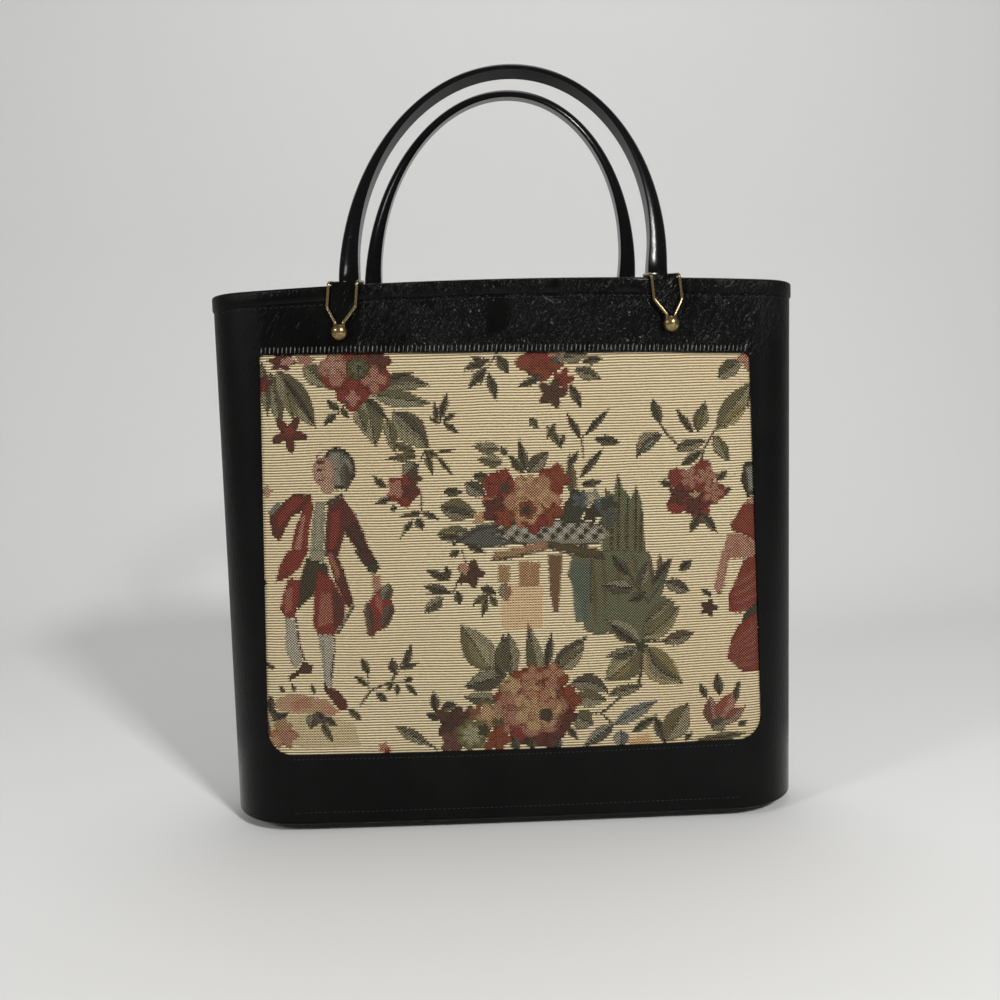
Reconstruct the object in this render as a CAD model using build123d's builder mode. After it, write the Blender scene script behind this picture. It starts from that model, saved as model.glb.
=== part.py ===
"""A stiff leather handbag with a woven panel in a window, and two rigid handles on wire yokes.

The body is a tapered tub. Its plan is a bowed rectangle: four large arcs joined by corner arcs.
Every layer of the wall is the same tub with its plan moved in, so the layers nest at any size.
The bag stands on four feet at z = 0, with its front towards -Y. All lengths are millimetres.
"""

import os
from functools import cache
from math import atan2, cos, degrees, radians, sin, sqrt

from build123d import *

os.makedirs("parts", exist_ok=True)

# Body
foot_height = 5.0
body_height = 290.0
rim_drop = 1.4  # the rim falls this much from its middle to its ends
base_half_width = 160.4
base_half_depth = 44.9
base_front_radius = 6000.0
base_end_radius = 60.0
base_corner_radius = 42.0
top_half_width = 161.1
top_half_depth = 56.3
top_front_radius = 526.0
top_end_radius = 83.0
top_corner_radius = 26.0

# Layers of the wall, from the outside in
layer_gap = 0.1
window_leather = 1.2  # the leather alone, as it shows at the window's edge
skin_thickness = 2.0  # leather with its backing
board_thickness = 1.6
lining_thickness = 0.6
base_leather_thickness = 1.6
base_board_thickness = 2.5
bottom_edge_radius = 1.2
seam_gap = 0.3
end_board_width = 12.0  # the end boards reach this far in from the ends of the base

# Rim binding
binding_depth = 8.0
binding_thickness = 0.6

# Window and tapestry
window_top_half_width = 130.7
window_bottom_half_width = 135.8
window_top = 257.6
window_fall = 5.4  # the window's top edge falls this much from left to right
window_bottom = 44.2
window_top_radius = 2.0
window_low_radius = 13.0
tapestry_margin = 6.0
tapestry_thickness = 0.6
motif_thickness = 0.25
motif_margin = 0.8  # the woven figures stop this far inside the window

# Feet
foot_radius = 6.0
foot_edge_radius = 1.0
foot_stem_radius = 1.5
foot_inset_x = 42.0
foot_inset_y = 22.0

# Wire yokes with their rivets and tabs
wire_radius = 0.9
wire_clearance = 0.1
rivet_drop = 24.6  # rivet centre below the middle of the rim
rivet_offset = 4.3  # the rivets stand this much further out than the handle's legs
shank_radius = 1.4
shank_clearance = 0.15
dome_radius = 4.0
dome_height = 2.1
washer_radius = 4.1
washer_thickness = 0.6
burr_radius = 4.5
burr_thickness = 0.6
clinch_radius = 2.6
clinch_thickness = 0.7
yoke_half_width = 7.5
kink_rise = 12.9  # kinks of the yoke above the rivet
neck_rise = 4.6
neck_half_width = 2.1
loop_half_width = 2.9
yoke_bend_radius = 1.9
loop_bend_radius = 2.2
wire_end_gap = 1.0  # the wire's two ends stop this far apart inside the handle
tab_thickness = 1.0
tab_side_clearance = 0.4
tab_waist_rise = 7.8
tab_foot_margin = 0.3  # the tab shows this much round the washer
tab_rise = 0.9  # the tab's top above the rim

# Handles
pivot_inset = 17.8  # pivot line behind the middle of the rim
pivot_rise = 2.2  # pivot line above the middle of the rim
pin_clearance = 0.05
knuckle_radius = 4.2
front_leg_spacing = 163.6
back_leg_spacing = 153.2
leg_width = 11.0
leg_depth = 10.0
crown_thickness = 4.8
crown_depth = 10.7
swell_power = 1.83  # how fast the handle's section thins from the leg to the crown
leg_rise = 3.8  # the legs run straight this far above the pivot
crown_height = 115.0
crown_skew = 0.053  # the handles have set a little to the right
inner_edge = 1.0
front_lean = 10.0
back_lean = 6.0

# Pocket on the lining
pocket_half_width = 62.0
pocket_top = 225.0
pocket_bottom = 110.0
pocket_corner_radius = 8.0
pocket_thickness = 0.8

rim_height = foot_height + body_height
rivet_height = rim_height - rivet_drop
pivot_height = rim_height + pivot_rise
pivot_depth = top_half_depth - pivot_inset
loft_top = rim_height + 2 * pivot_rise
reach = top_half_width + top_half_depth  # past the body on every side

tapestry_inset = skin_thickness - tapestry_thickness
board_inset = skin_thickness + layer_gap
lining_inset = board_inset + board_thickness + layer_gap
wall_thickness = lining_inset + lining_thickness
wall_bottom = foot_height + base_leather_thickness + layer_gap
board_bottom = wall_bottom + base_board_thickness + layer_gap
binding_lift = layer_gap + binding_thickness
wire_stand = wire_clearance + wire_radius
# A bend stands off the corner that it goes round, so that the wire's inside clears it.
bend_stand = yoke_bend_radius - (yoke_bend_radius - wire_stand) / sqrt(2)
tab_lift = binding_lift + wire_clearance
washer_lift = tab_lift + tab_thickness + wire_clearance
loop_lift = washer_lift + washer_thickness + wire_stand
dome_lift = loop_lift + wire_stand
burr_lift = -wall_thickness - layer_gap - burr_thickness
clinch_lift = burr_lift - layer_gap


class Outline:
    """The plan at one height, as eight arcs: front and back, two ends and four corners."""

    def __init__(self, half_width, half_depth, front_radius, end_radius, corner_radius):
        self.front_y = front_radius - half_depth
        self.end_x = half_width - end_radius
        self.radii = (front_radius, end_radius, corner_radius)
        # A corner circle touches the front and the end arc from inside, so its centre lies
        # at the difference of the radii from each of their centres.
        to_front = front_radius - corner_radius
        to_end = end_radius - corner_radius
        line = Vector(self.end_x, -self.front_y)
        along = (to_front**2 - to_end**2 + line.length**2) / (2 * line.length)
        across = sqrt(to_front**2 - along**2)
        unit = line.normalized()
        self.corner_x = unit.X * along - unit.Y * across
        self.corner_y = self.front_y + unit.Y * along + unit.X * across
        self.front_angle = degrees(atan2(self.corner_x, self.front_y - self.corner_y))
        self.end_angle = degrees(atan2(-self.corner_y, self.corner_x - self.end_x))

    def arcs(self, inset):
        """Draws the ring of arcs with every radius smaller by the inset."""
        front_radius, end_radius, corner_radius = self.radii
        front, end = self.front_angle, self.end_angle
        turn = 90 - front - end
        x, y = self.corner_x, self.corner_y
        ring = (
            ((0, self.front_y), front_radius, 270 - front, 2 * front),
            ((x, y), corner_radius, 270 + front, turn),
            ((self.end_x, 0), end_radius, -end, 2 * end),
            ((x, -y), corner_radius, end, turn),
            ((0, -self.front_y), front_radius, 90 - front, 2 * front),
            ((-x, -y), corner_radius, 90 + front, turn),
            ((-self.end_x, 0), end_radius, 180 - end, 2 * end),
            ((-x, y), corner_radius, 180 + end, turn),
        )
        for centre, radius, start, size in ring:
            CenterArc(centre, radius - inset, start, size)


base_outline = Outline(
    base_half_width, base_half_depth, base_front_radius, base_end_radius, base_corner_radius
)
top_outline = Outline(
    top_half_width, top_half_depth, top_front_radius, top_end_radius, top_corner_radius
)


@cache
def tub(inset):
    """The solid body with its outer face moved in by the inset, from the base up past the rim."""
    with BuildPart() as solid:
        for outline, height in ((base_outline, foot_height), (top_outline, loft_top)):
            with BuildSketch(Plane.XY.offset(height)):
                with BuildLine():
                    outline.arcs(inset)
                make_face()
        loft(ruled=True)
    return solid.part


@cache
def wall(outer_inset, inner_inset):
    """The space between two tubs: one layer of the wall, open at both ends."""
    return tub(outer_inset) - tub(inner_inset)


def rim_at(x):
    """The rim's height at a width, on the arc through its middle and its two ends."""
    arc_radius = (top_half_width**2 + rim_drop**2) / (2 * rim_drop)
    return rim_height - arc_radius + sqrt(arc_radius**2 - x**2)


def below_rim(bottom, drop=0.0):
    """Everything from a height up to the arched rim line, which is lowered by the drop."""
    end_height = rim_height - rim_drop - drop
    with BuildPart() as solid:
        with BuildSketch(Plane.XZ):
            with BuildLine():
                ThreePointArc(
                    (-top_half_width, end_height), (0, rim_height - drop), (top_half_width, end_height)
                )
                Polyline(
                    (-top_half_width, end_height),
                    (-reach, end_height),
                    (-reach, bottom),
                    (reach, bottom),
                    (reach, end_height),
                    (top_half_width, end_height),
                )
            make_face()
        extrude(amount=reach, both=True)
    return solid.part


def leather_at(x, z, side):
    """The point and outward normal of the outer leather at a width and height on one side."""
    ray = Axis((x, 0, z), (0, side, 0))
    hits = [hit for face in tub(0).faces() for hit in face.find_intersection_points(ray)]
    point, normal = max(hits, key=lambda hit: side * hit[0].Y)
    return point, normal if normal.Y * side > 0 else -normal


def above_leather(x, z, side, lift):
    """A point lifted off the leather along its normal."""
    point, normal = leather_at(x, z, side)
    return point + normal * lift


def leg_x(side, hand):
    """The middle of a handle's leg."""
    return hand * (front_leg_spacing if side < 0 else back_leg_spacing) / 2


def rivet_x(side, hand):
    return leg_x(side, hand) + hand * rivet_offset


def yoke_x(side, hand, rise):
    """The middle of a yoke at a rise above its rivet: the yoke leans in, towards the leg."""
    run = rivet_drop + pivot_inset
    return rivet_x(side, hand) - hand * rivet_offset * rise / run


def rivet_plane(side, hand, lift=0.0):
    """A plane across the rivet, lifted off the leather and facing out."""
    point, normal = leather_at(rivet_x(side, hand), rivet_height, side)
    across = Vector(0, 0, 1).cross(normal).normalized()
    return Plane(origin=point + normal * lift, x_dir=across, z_dir=normal)


@cache
def rivet_holes(side):
    """The clearance holes of both rivets on one side, through everything that they hold."""
    with BuildPart() as holes:
        for hand in (-1, 1):
            with BuildSketch(rivet_plane(side, hand, dome_lift)):
                Circle(shank_radius + shank_clearance)
            extrude(amount=clinch_lift - dome_lift)
    return holes.part


@cache
def window(margin):
    """The window's outline on the XZ plane, grown by a margin."""
    with BuildSketch(Plane.XZ) as outline:
        with BuildLine():
            Polyline(
                (-window_bottom_half_width, window_bottom),
                (window_bottom_half_width, window_bottom),
                (window_top_half_width, window_top - window_fall / 2),
                (-window_top_half_width, window_top + window_fall / 2),
                close=True,
            )
        make_face()
        fillet(outline.vertices().sort_by(Axis.Y)[:2], window_low_radius)
        fillet(outline.vertices().sort_by(Axis.Y)[-2:], window_top_radius)
        if margin:
            offset(amount=margin)
    return outline.sketch


def through(sketch, side):
    """A flat outline carried out through the front or the back wall."""
    return extrude(sketch, amount=-side * reach, mode=Mode.PRIVATE)


def half_space(side, gap):
    """Everything on one side of the middle plane, less half a gap."""
    with BuildPart() as solid:
        with Locations((0, side * (reach + gap) / 2, rim_height / 2)):
            Box(2 * reach, reach, 2 * rim_height)
    return solid.part


def between_ends(gap):
    """Everything between the end boards. Both splits keep their way in from the body's ends."""
    low = base_half_width - end_board_width - gap
    high = top_half_width - end_board_width - gap
    with BuildSketch(Plane.XZ) as face:
        with BuildLine():
            Polyline((-low, foot_height), (low, foot_height), (high, loft_top), (-high, loft_top), close=True)
        make_face()
    return extrude(face.sketch, amount=reach, both=True, mode=Mode.PRIVATE)


SIDES = {"front": -1, "back": 1}
HANDS = {"left": -1, "right": 1}


def finish(name, part):
    """Labels a finished piece and writes it out."""
    part.label = name
    export_step(part, f"parts/{name}.step")


# Leather skins, with the window and the rebate behind it
for name, side in SIDES.items():
    with BuildPart() as skin:
        add(wall(0, skin_thickness))
        add(below_rim(wall_bottom, binding_lift), mode=Mode.INTERSECT)
        add(half_space(side, seam_gap), mode=Mode.INTERSECT)
        add(through(window(0), side), mode=Mode.SUBTRACT)
        add(tub(window_leather) & through(window(tapestry_margin), side), mode=Mode.SUBTRACT)
        add(rivet_holes(side), mode=Mode.SUBTRACT)
    finish(f"{name}_leather", skin.part)

# Woven panels in the rebates
for name, side in SIDES.items():
    with BuildPart() as panel:
        add(wall(tapestry_inset, skin_thickness))
        add(through(window(tapestry_margin - layer_gap), side), mode=Mode.INTERSECT)
    finish(f"{name}_tapestry", panel.part)

# The woven figures, as fields of one colour each. They are drawn on four sheets: a shape's place
# is given in steps across and down its sheet, and the sheet's corners are fixed on the panel.
sheet_columns = 156.8
sheets = {
    "upper_left": (126.6, (-133.0, 265.9), (4.3, 261.1), (-137.8, 153.9), (1.6, 151.0)),
    "upper_right": (124.2, (-0.9, 261.2), (142.8, 259.0), (-3.7, 151.2), (140.9, 145.3)),
    "lower_left": (126.6, (-137.7, 156.6), (1.7, 153.7), (-142.5, 42.1), (-1.2, 37.9)),
    "lower_right": (124.2, (-3.6, 153.8), (140.9, 148.0), (-6.6, 38.1), (139.2, 32.1)),
}


def on_panel(sheet, across, down):
    """A place on the panel, blended from the four corners of its sheet."""
    sheet_rows, *corners = sheets[sheet]
    top_left, top_right, low_left, low_right = (Vector(*corner) for corner in corners)
    u, v = across / sheet_columns, down / sheet_rows
    return (top_left * (1 - u) + top_right * u) * (1 - v) + (low_left * (1 - u) + low_right * u) * v


def leaf(sheet, x, y, tip_x, tip_y, width):
    """Two arcs from the stalk to the tip, apart by the width in their middle."""
    stalk, tip = on_panel(sheet, x, y), on_panel(sheet, tip_x, tip_y)
    axis = (tip - stalk).normalized()
    bulge = Vector(-axis.Y, axis.X) * width / 2
    middle = (stalk + tip) / 2
    with BuildSketch(Plane.XZ) as shape:
        with BuildLine():
            ThreePointArc(stalk, middle + bulge, tip)
            ThreePointArc(tip, middle - bulge, stalk)
        make_face()
    return shape.sketch


def disc(sheet, x, y, radius):
    with BuildSketch(Plane.XZ) as shape:
        with Locations(on_panel(sheet, x, y)):
            Circle(radius)
    return shape.sketch


def field(sheet, *corners):
    with BuildSketch(Plane.XZ) as shape:
        with BuildLine():
            Polyline(*(on_panel(sheet, x, y) for x, y in corners), close=True)
        make_face()
    return shape.sketch


# The figures in the order in which they lie on each other, the upper ones first
figures = {
    "orange_roses": [
        disc("upper_right", 12, 92, 16),
        disc("lower_right", 19, 93, 11),
    ],
    "linen": [
        leaf("upper_left", 44, 62, 46, 92, 15),
        field("lower_left", (17, 40), (26, 40), (28, 70), (22, 70)),
        field("lower_left", (38, 50), (49, 50), (50, 86), (43, 86)),
    ],
    "gentleman": [
        field("lower_left", (28, -36), (54, -36), (70, 0), (62, 4), (56, 48), (38, 48), (32, 24), (17, 38), (14, 12)),
        field("lower_left", (72, 24), (82, 22), (85, 36), (72, 51), (66, 48)),
    ],
    "lady": [
        field("lower_right", (134, -16), (143, -28), (154, -28), (154, 30), (132, 32)),
        field("lower_right", (134, 48), (154, 36), (156, 74), (141, 72), (131, 64)),
    ],
    "red_blossoms": [
        disc("upper_left", 62, 15, 17),
        disc("upper_left", 90, 86, 8),
        disc("upper_right", 24, 16, 13),
        disc("upper_right", 111, 87, 13),
        disc("lower_right", 18, 94, 18),
        disc("lower_left", 126, 108, 10),
    ],
    "bowl": [
        field("upper_right", (-30, 119), (-20, 107), (46, 98), (62, 98), (54, 117)),
    ],
    "plinth": [
        field("lower_right", (-8, 0), (46, 0), (32, 5), (29, 40), (23, 40), (20, 24), (-4, 26)),
    ],
    "blue_leaves": [
        field("lower_right", (44, 2), (60, -30), (80, 0), (98, 12), (98, 30), (84, 50), (46, 40)),
        leaf("lower_right", 50, 112, 90, 92, 14),
    ],
    "olive_leaves": [
        leaf("upper_left", 14, 12, 38, 52, 20),
        leaf("upper_left", 70, 27, 103, 64, 24),
        leaf("upper_right", 122, 53, 146, 20, 16),
        leaf("lower_left", 145, 76, 124, 44, 19),
        leaf("lower_right", 81, 53, 104, 31, 16),
        leaf("lower_right", 79, 57, 58, 78, 20),
        leaf("lower_right", 83, 59, 105, 80, 19),
        leaf("lower_right", 24, 74, 13, 42, 13),
        leaf("lower_right", 95, 113, 108, 90, 16),
    ],
}

# Each figure keeps clear of the ones above it, and all of them stay inside the window. The back
# panel carries the same drawing, turned round to read the same way from behind.
motif_inset = tapestry_inset - layer_gap - motif_thickness
above = []
for figure, shapes in figures.items():
    whole = shapes[0].fuse(*shapes[1:]) if len(shapes) > 1 else shapes[0]
    for other in above:
        whole = whole - other
    above.append(whole)
    for name, side in SIDES.items():
        seen = whole if side < 0 else mirror(whole, about=Plane.YZ)
        with BuildPart() as motif:
            add(wall(motif_inset, motif_inset + motif_thickness))
            add(through(window(-motif_margin) & seen, side), mode=Mode.INTERSECT)
        finish(f"{name}_{figure}", motif.part)

# Stiffening boards: front, back, two ends and the base
for name, side in SIDES.items():
    with BuildPart() as board:
        add(wall(board_inset, board_inset + board_thickness))
        add(below_rim(board_bottom, binding_lift), mode=Mode.INTERSECT)
        add(half_space(side, seam_gap), mode=Mode.INTERSECT)
        add(between_ends(layer_gap), mode=Mode.INTERSECT)
        add(rivet_holes(side), mode=Mode.SUBTRACT)
    finish(f"{name}_board", board.part)

for name, hand in HANDS.items():
    with BuildPart() as board:
        add(wall(board_inset, board_inset + board_thickness))
        add(below_rim(board_bottom, binding_lift), mode=Mode.INTERSECT)
        add(between_ends(0), mode=Mode.SUBTRACT)
        with Locations((hand * reach / 2, 0, rim_height / 2)):
            Box(reach, 2 * reach, 2 * rim_height, mode=Mode.INTERSECT)
    finish(f"{name}_board", board.part)

# Feet: studs whose stems go through the base leather and the base board
foot_places = [
    (hand * (base_half_width - foot_inset_x), side * (base_half_depth - foot_inset_y))
    for side in SIDES.values()
    for hand in HANDS.values()
]
foot_names = [f"{name}_{hand_name}_foot" for name in SIDES for hand_name in HANDS]
stem_top = wall_bottom + base_board_thickness
for name, place in zip(foot_names, foot_places):
    with BuildPart() as foot:
        with Locations(place):
            Cylinder(foot_radius, foot_height, align=(Align.CENTER, Align.CENTER, Align.MIN))
            fillet(foot.edges().group_by(Axis.Z)[0], foot_edge_radius)
            Cylinder(foot_stem_radius, stem_top, align=(Align.CENTER, Align.CENTER, Align.MIN))
    finish(name, foot.part)

with BuildPart() as base_leather:
    add(tub(0))
    with BuildSketch(Plane.XY.offset(wall_bottom - layer_gap)):
        Rectangle(2 * reach, 2 * reach)
    extrude(amount=rim_height, mode=Mode.SUBTRACT)
    fillet(base_leather.edges().group_by(Axis.Z)[0], bottom_edge_radius)
    with Locations([(x, y, wall_bottom) for x, y in foot_places]):
        Hole(foot_stem_radius + shank_clearance)
finish("base_leather", base_leather.part)

with BuildPart() as base_board:
    add(tub(board_inset))
    with BuildSketch(Plane.XY.offset(foot_height)):
        Rectangle(2 * reach, 2 * reach)
    extrude(amount=wall_bottom - foot_height, mode=Mode.SUBTRACT)
    with BuildSketch(Plane.XY.offset(stem_top)):
        Rectangle(2 * reach, 2 * reach)
    extrude(amount=rim_height, mode=Mode.SUBTRACT)
    with Locations([(x, y, stem_top) for x, y in foot_places]):
        Hole(foot_stem_radius + shank_clearance)
finish("base_board", base_board.part)

# Lining with its bottom, and the slip pocket on its back
with BuildPart() as lining:
    add(tub(lining_inset))
    add(below_rim(board_bottom, binding_lift), mode=Mode.INTERSECT)
    inside = tub(wall_thickness) & below_rim(board_bottom + lining_thickness, -reach)
    add(inside, mode=Mode.SUBTRACT)
    for side in SIDES.values():
        add(rivet_holes(side), mode=Mode.SUBTRACT)
finish("lining", lining.part)

with BuildPart() as pocket:
    with BuildSketch(Plane.XZ) as pocket_outline:
        with Locations((0, (pocket_top + pocket_bottom) / 2)):
            Rectangle(2 * pocket_half_width, pocket_top - pocket_bottom)
        fillet(pocket_outline.vertices().group_by(Axis.Y)[0], pocket_corner_radius)
    extrude(amount=-reach)
    pocket_inset = wall_thickness + layer_gap
    add(wall(pocket_inset, pocket_inset + pocket_thickness), mode=Mode.INTERSECT)
finish("inner_pocket", pocket.part)

# Rim binding, folded over the wall
with BuildPart() as binding:
    add(wall(-binding_lift, wall_thickness + binding_lift))
    add(below_rim(foot_height), mode=Mode.INTERSECT)
    add(below_rim(0, binding_depth), mode=Mode.SUBTRACT)
    channel = wall(-layer_gap, wall_thickness + layer_gap) & below_rim(0, binding_thickness)
    add(channel, mode=Mode.SUBTRACT)
finish("rim_binding", binding.part)


def yoke_path(side, hand):
    """Half of the yoke's route on each side of its middle, from the handle to the loop."""
    halves = []
    for arm in (-1, 1):
        lip_x = yoke_x(side, hand, rivet_drop) + arm * yoke_half_width
        lip = above_leather(lip_x, rim_at(lip_x), side, binding_lift + bend_stand)
        kink_x = yoke_x(side, hand, kink_rise) + arm * yoke_half_width
        neck_x = yoke_x(side, hand, neck_rise) + arm * neck_half_width
        loop_x = rivet_x(side, hand) + arm * loop_half_width
        halves.append(
            [
                Vector(leg_x(side, hand) + arm * wire_end_gap / 2, side * pivot_depth, pivot_height),
                Vector(leg_x(side, hand) + arm * yoke_half_width, side * pivot_depth, pivot_height),
                Vector(lip_x, lip.Y, rim_at(lip_x) + bend_stand),
                above_leather(kink_x, rivet_height + kink_rise, side, binding_lift + wire_stand),
                above_leather(neck_x, rivet_height + neck_rise, side, loop_lift),
                above_leather(loop_x, rivet_height - loop_half_width, side, loop_lift),
            ]
        )
    first, second = halves
    return first + second[::-1]


def ring(plane, outer_radius, thickness):
    """A washer on a plane."""
    with BuildPart() as washer:
        with BuildSketch(plane):
            Circle(outer_radius)
            Circle(shank_radius + shank_clearance, mode=Mode.SUBTRACT)
        extrude(amount=thickness)
    return washer.part


# Tabs, yokes, rivets and their washers, at the four legs
washers = []
burrs = []
for side_name, side in SIDES.items():
    for hand_name, hand in HANDS.items():
        name = f"{side_name}_{hand_name}"
        seat = rivet_plane(side, hand)

        with BuildPart() as yoke:
            with BuildLine() as route:
                bends = [yoke_bend_radius] * 4 + [loop_bend_radius] * 2 + [yoke_bend_radius] * 4
                FilletPolyline(*yoke_path(side, hand), radius=bends)
            with BuildSketch(Plane(origin=route.line @ 0, z_dir=route.line % 0)):
                Circle(wire_radius)
            sweep(path=route.line)
        finish(f"{name}_yoke", yoke.part)

        with BuildPart() as rivet:
            with BuildSketch(Plane(origin=seat.origin, x_dir=seat.x_dir, z_dir=-seat.y_dir)):
                with BuildLine():
                    crown = (0, dome_lift + dome_height)
                    TangentArc(crown, (dome_radius, dome_lift), tangent=(1, 0))
                    Polyline(
                        (dome_radius, dome_lift),
                        (shank_radius, dome_lift),
                        (shank_radius, clinch_lift),
                        (clinch_radius, clinch_lift),
                        (shank_radius, clinch_lift - clinch_thickness),
                        (0, clinch_lift - clinch_thickness),
                        crown,
                    )
                make_face()
            revolve(axis=Axis(seat.origin, seat.z_dir))
        finish(f"{name}_rivet", rivet.part)

        washers.append(ring(rivet_plane(side, hand, washer_lift), washer_radius, washer_thickness))
        burrs.append(ring(rivet_plane(side, hand, burr_lift), burr_radius, burr_thickness))

        # The tab fills the yoke: its edges keep clear of the wire down to its waist, and below
        # that it runs under the wire to the washer.
        with BuildPart() as tab:
            with BuildSketch(Plane.XZ):
                side_gap = wire_radius + tab_side_clearance
                slope = (yoke_half_width - neck_half_width) / (kink_rise - neck_rise)
                waist = neck_half_width + (tab_waist_rise - neck_rise) * slope - side_gap
                corners = []
                for rise, half_width in (
                    (rivet_drop + tab_rise, yoke_half_width - side_gap),
                    (kink_rise, yoke_half_width - side_gap),
                    (tab_waist_rise, waist),
                    (0, washer_radius),
                ):
                    middle = yoke_x(side, hand, rise)
                    corners.insert(0, (middle - half_width, rivet_height + rise))
                    corners.append((middle + half_width, rivet_height + rise))
                with BuildLine():
                    Polyline(*corners, close=True)
                make_face()
                with Locations((rivet_x(side, hand), rivet_height)):
                    Circle(washer_radius + tab_foot_margin)
            extrude(amount=-side * reach)
            add(wall(-tab_lift - tab_thickness, -tab_lift), mode=Mode.INTERSECT)
            add(rivet_holes(side), mode=Mode.SUBTRACT)
        finish(f"{name}_tab", tab.part)

finish("washers", Compound(children=washers))
finish("burrs", Compound(children=burrs))


def handle_section(plane, thickness, depth):
    """A D, flat towards the hand and half an ellipse outside, with its crest at the origin."""
    with BuildSketch(plane) as section:
        with BuildLine():
            Polyline(
                (inner_edge - thickness, depth / 2),
                (-thickness, depth / 2),
                (-thickness, -depth / 2),
                (inner_edge - thickness, -depth / 2),
            )
            EllipticalCenterArc(
                (inner_edge - thickness, 0), thickness - inner_edge, depth / 2, start_angle=-90, arc_size=180
            )
        make_face()
    return section.sketch


def station(frame, half_width, angle):
    """The plane of a section on the handle's skewed half ellipse."""
    rise = crown_height * sin(radians(angle))
    x = half_width * cos(radians(angle)) + crown_skew * rise
    climb = crown_height * cos(radians(angle))
    tangent = Vector(-half_width * sin(radians(angle)) + crown_skew * climb, climb).normalized()
    origin = frame.from_local_coords((x, leg_rise + rise, 0))
    along = frame.x_dir * tangent.X + frame.y_dir * tangent.Y
    out = frame.x_dir * tangent.Y - frame.y_dir * tangent.X
    return Plane(origin=origin, x_dir=out, z_dir=along)


STATIONS = 24
for name, side, lean in (("front", -1, front_lean), ("back", 1, back_lean)):
    pivot = Vector(0, side * pivot_depth, pivot_height)
    upward = Vector(0, -side * sin(radians(lean)), cos(radians(lean)))
    frame = Plane(origin=pivot, x_dir=(1, 0, 0), z_dir=Vector(1, 0, 0).cross(upward))
    half_width = leg_x(side, 1) + leg_width / 2
    legs = [
        Plane(
            origin=pivot + Vector(hand * half_width, 0, 0),
            x_dir=(hand, 0, 0),
            z_dir=frame.y_dir * hand,
        )
        for hand in (1, -1)
    ]
    feet = [handle_section(leg, leg_width, 2 * knuckle_radius) for leg in legs]
    sections = []
    for index in range(STATIONS + 1):
        angle = 180 * index / STATIONS
        swell = (1 - sin(radians(angle))) ** swell_power
        thickness = crown_thickness + (leg_width - crown_thickness) * swell
        depth = leg_depth + (crown_depth - leg_depth) * sin(radians(angle))
        sections.append(handle_section(station(frame, half_width, angle), thickness, depth))
    with BuildPart() as knuckles:
        for foot, hand in zip(feet, (1, -1)):
            extrude(foot, amount=-hand * knuckle_radius)
        with BuildSketch(Plane(origin=pivot, x_dir=(0, 1, 0), z_dir=(1, 0, 0))):
            Circle(knuckle_radius)
        extrude(amount=reach, both=True, mode=Mode.INTERSECT)
    with BuildPart() as handle:
        loft([feet[0], *sections, feet[1]])
        add(knuckles.part)
        with BuildSketch(Plane(origin=pivot, x_dir=(0, 1, 0), z_dir=(1, 0, 0))):
            Circle(wire_radius + pin_clearance)
        extrude(amount=reach, both=True, mode=Mode.SUBTRACT)
    finish(f"{name}_handle", handle.part)
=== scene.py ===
# %% [markdown]
# # A stiff handbag with a woven panel
#
# The bag's hard parts arrive as a fixed frame: leather shells, boards, wire and handles at their
# real size. This file gives them their looks. It makes the weave, the thread and the soft folds
# as new surfaces worked out from formulas, and it gives each hard part a finish made of shader
# nodes. Lengths in the formulas are millimetres and are turned into metres in one place.

# %% Load the frame
import math

import bpy
import numpy as np
from mathutils import Matrix, Vector


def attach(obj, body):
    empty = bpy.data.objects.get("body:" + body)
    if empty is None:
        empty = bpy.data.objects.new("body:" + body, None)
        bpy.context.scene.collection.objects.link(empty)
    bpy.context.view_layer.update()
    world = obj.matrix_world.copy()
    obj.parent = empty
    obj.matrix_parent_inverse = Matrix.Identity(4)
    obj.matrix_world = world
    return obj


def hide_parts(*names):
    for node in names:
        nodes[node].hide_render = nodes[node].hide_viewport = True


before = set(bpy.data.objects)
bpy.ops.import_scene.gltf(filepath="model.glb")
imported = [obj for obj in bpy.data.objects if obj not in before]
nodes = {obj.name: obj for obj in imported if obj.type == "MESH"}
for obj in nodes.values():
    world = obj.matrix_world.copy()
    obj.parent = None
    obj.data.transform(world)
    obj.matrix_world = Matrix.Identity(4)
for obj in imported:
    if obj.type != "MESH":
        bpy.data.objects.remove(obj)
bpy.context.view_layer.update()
MM = 0.001
print("nodes:", len(nodes))

# %% [markdown]
# ## A small language for shader maths
#
# A finish is a graph of nodes. Written out node by node it is long and hard to read, so one class
# wraps a socket and lets `a * 2 + b` add the Math nodes, and one method adds any other node. The
# other way, building each graph by hand in the editor, would leave nothing to read here.


# %% The socket class and the finish class
class Value:
    """A number that varies over a surface. Operators on it add Math nodes to its finish."""

    def __init__(self, finish, socket):
        self.finish = finish
        self.socket = socket

    def math(self, operation, *others, clamp=False):
        """The named Math node applied to this value and the others."""
        return self.finish.node(
            "Math", {"operation": operation, "use_clamp": clamp}, dict(enumerate((self, *others)))
        )

    def __add__(self, other):
        return self.math("ADD", other)

    __radd__ = __add__

    def __mul__(self, other):
        return self.math("MULTIPLY", other)

    __rmul__ = __mul__

    def __sub__(self, other):
        return self.math("SUBTRACT", other)

    def __rsub__(self, other):
        return (self * -1.0) + other

    def __truediv__(self, other):
        return self.math("DIVIDE", other)

    def __pow__(self, other):
        return self.math("POWER", other)

    def sine(self):
        return self.math("SINE")

    def absolute(self):
        return self.math("ABSOLUTE")

    def clamped(self):
        return self.math("ADD", 0.0, clamp=True)

    def step(self, low, high):
        """0 below low, 1 above high, and a straight ramp between them."""
        return ((self - low) / (high - low)).clamped()


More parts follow.
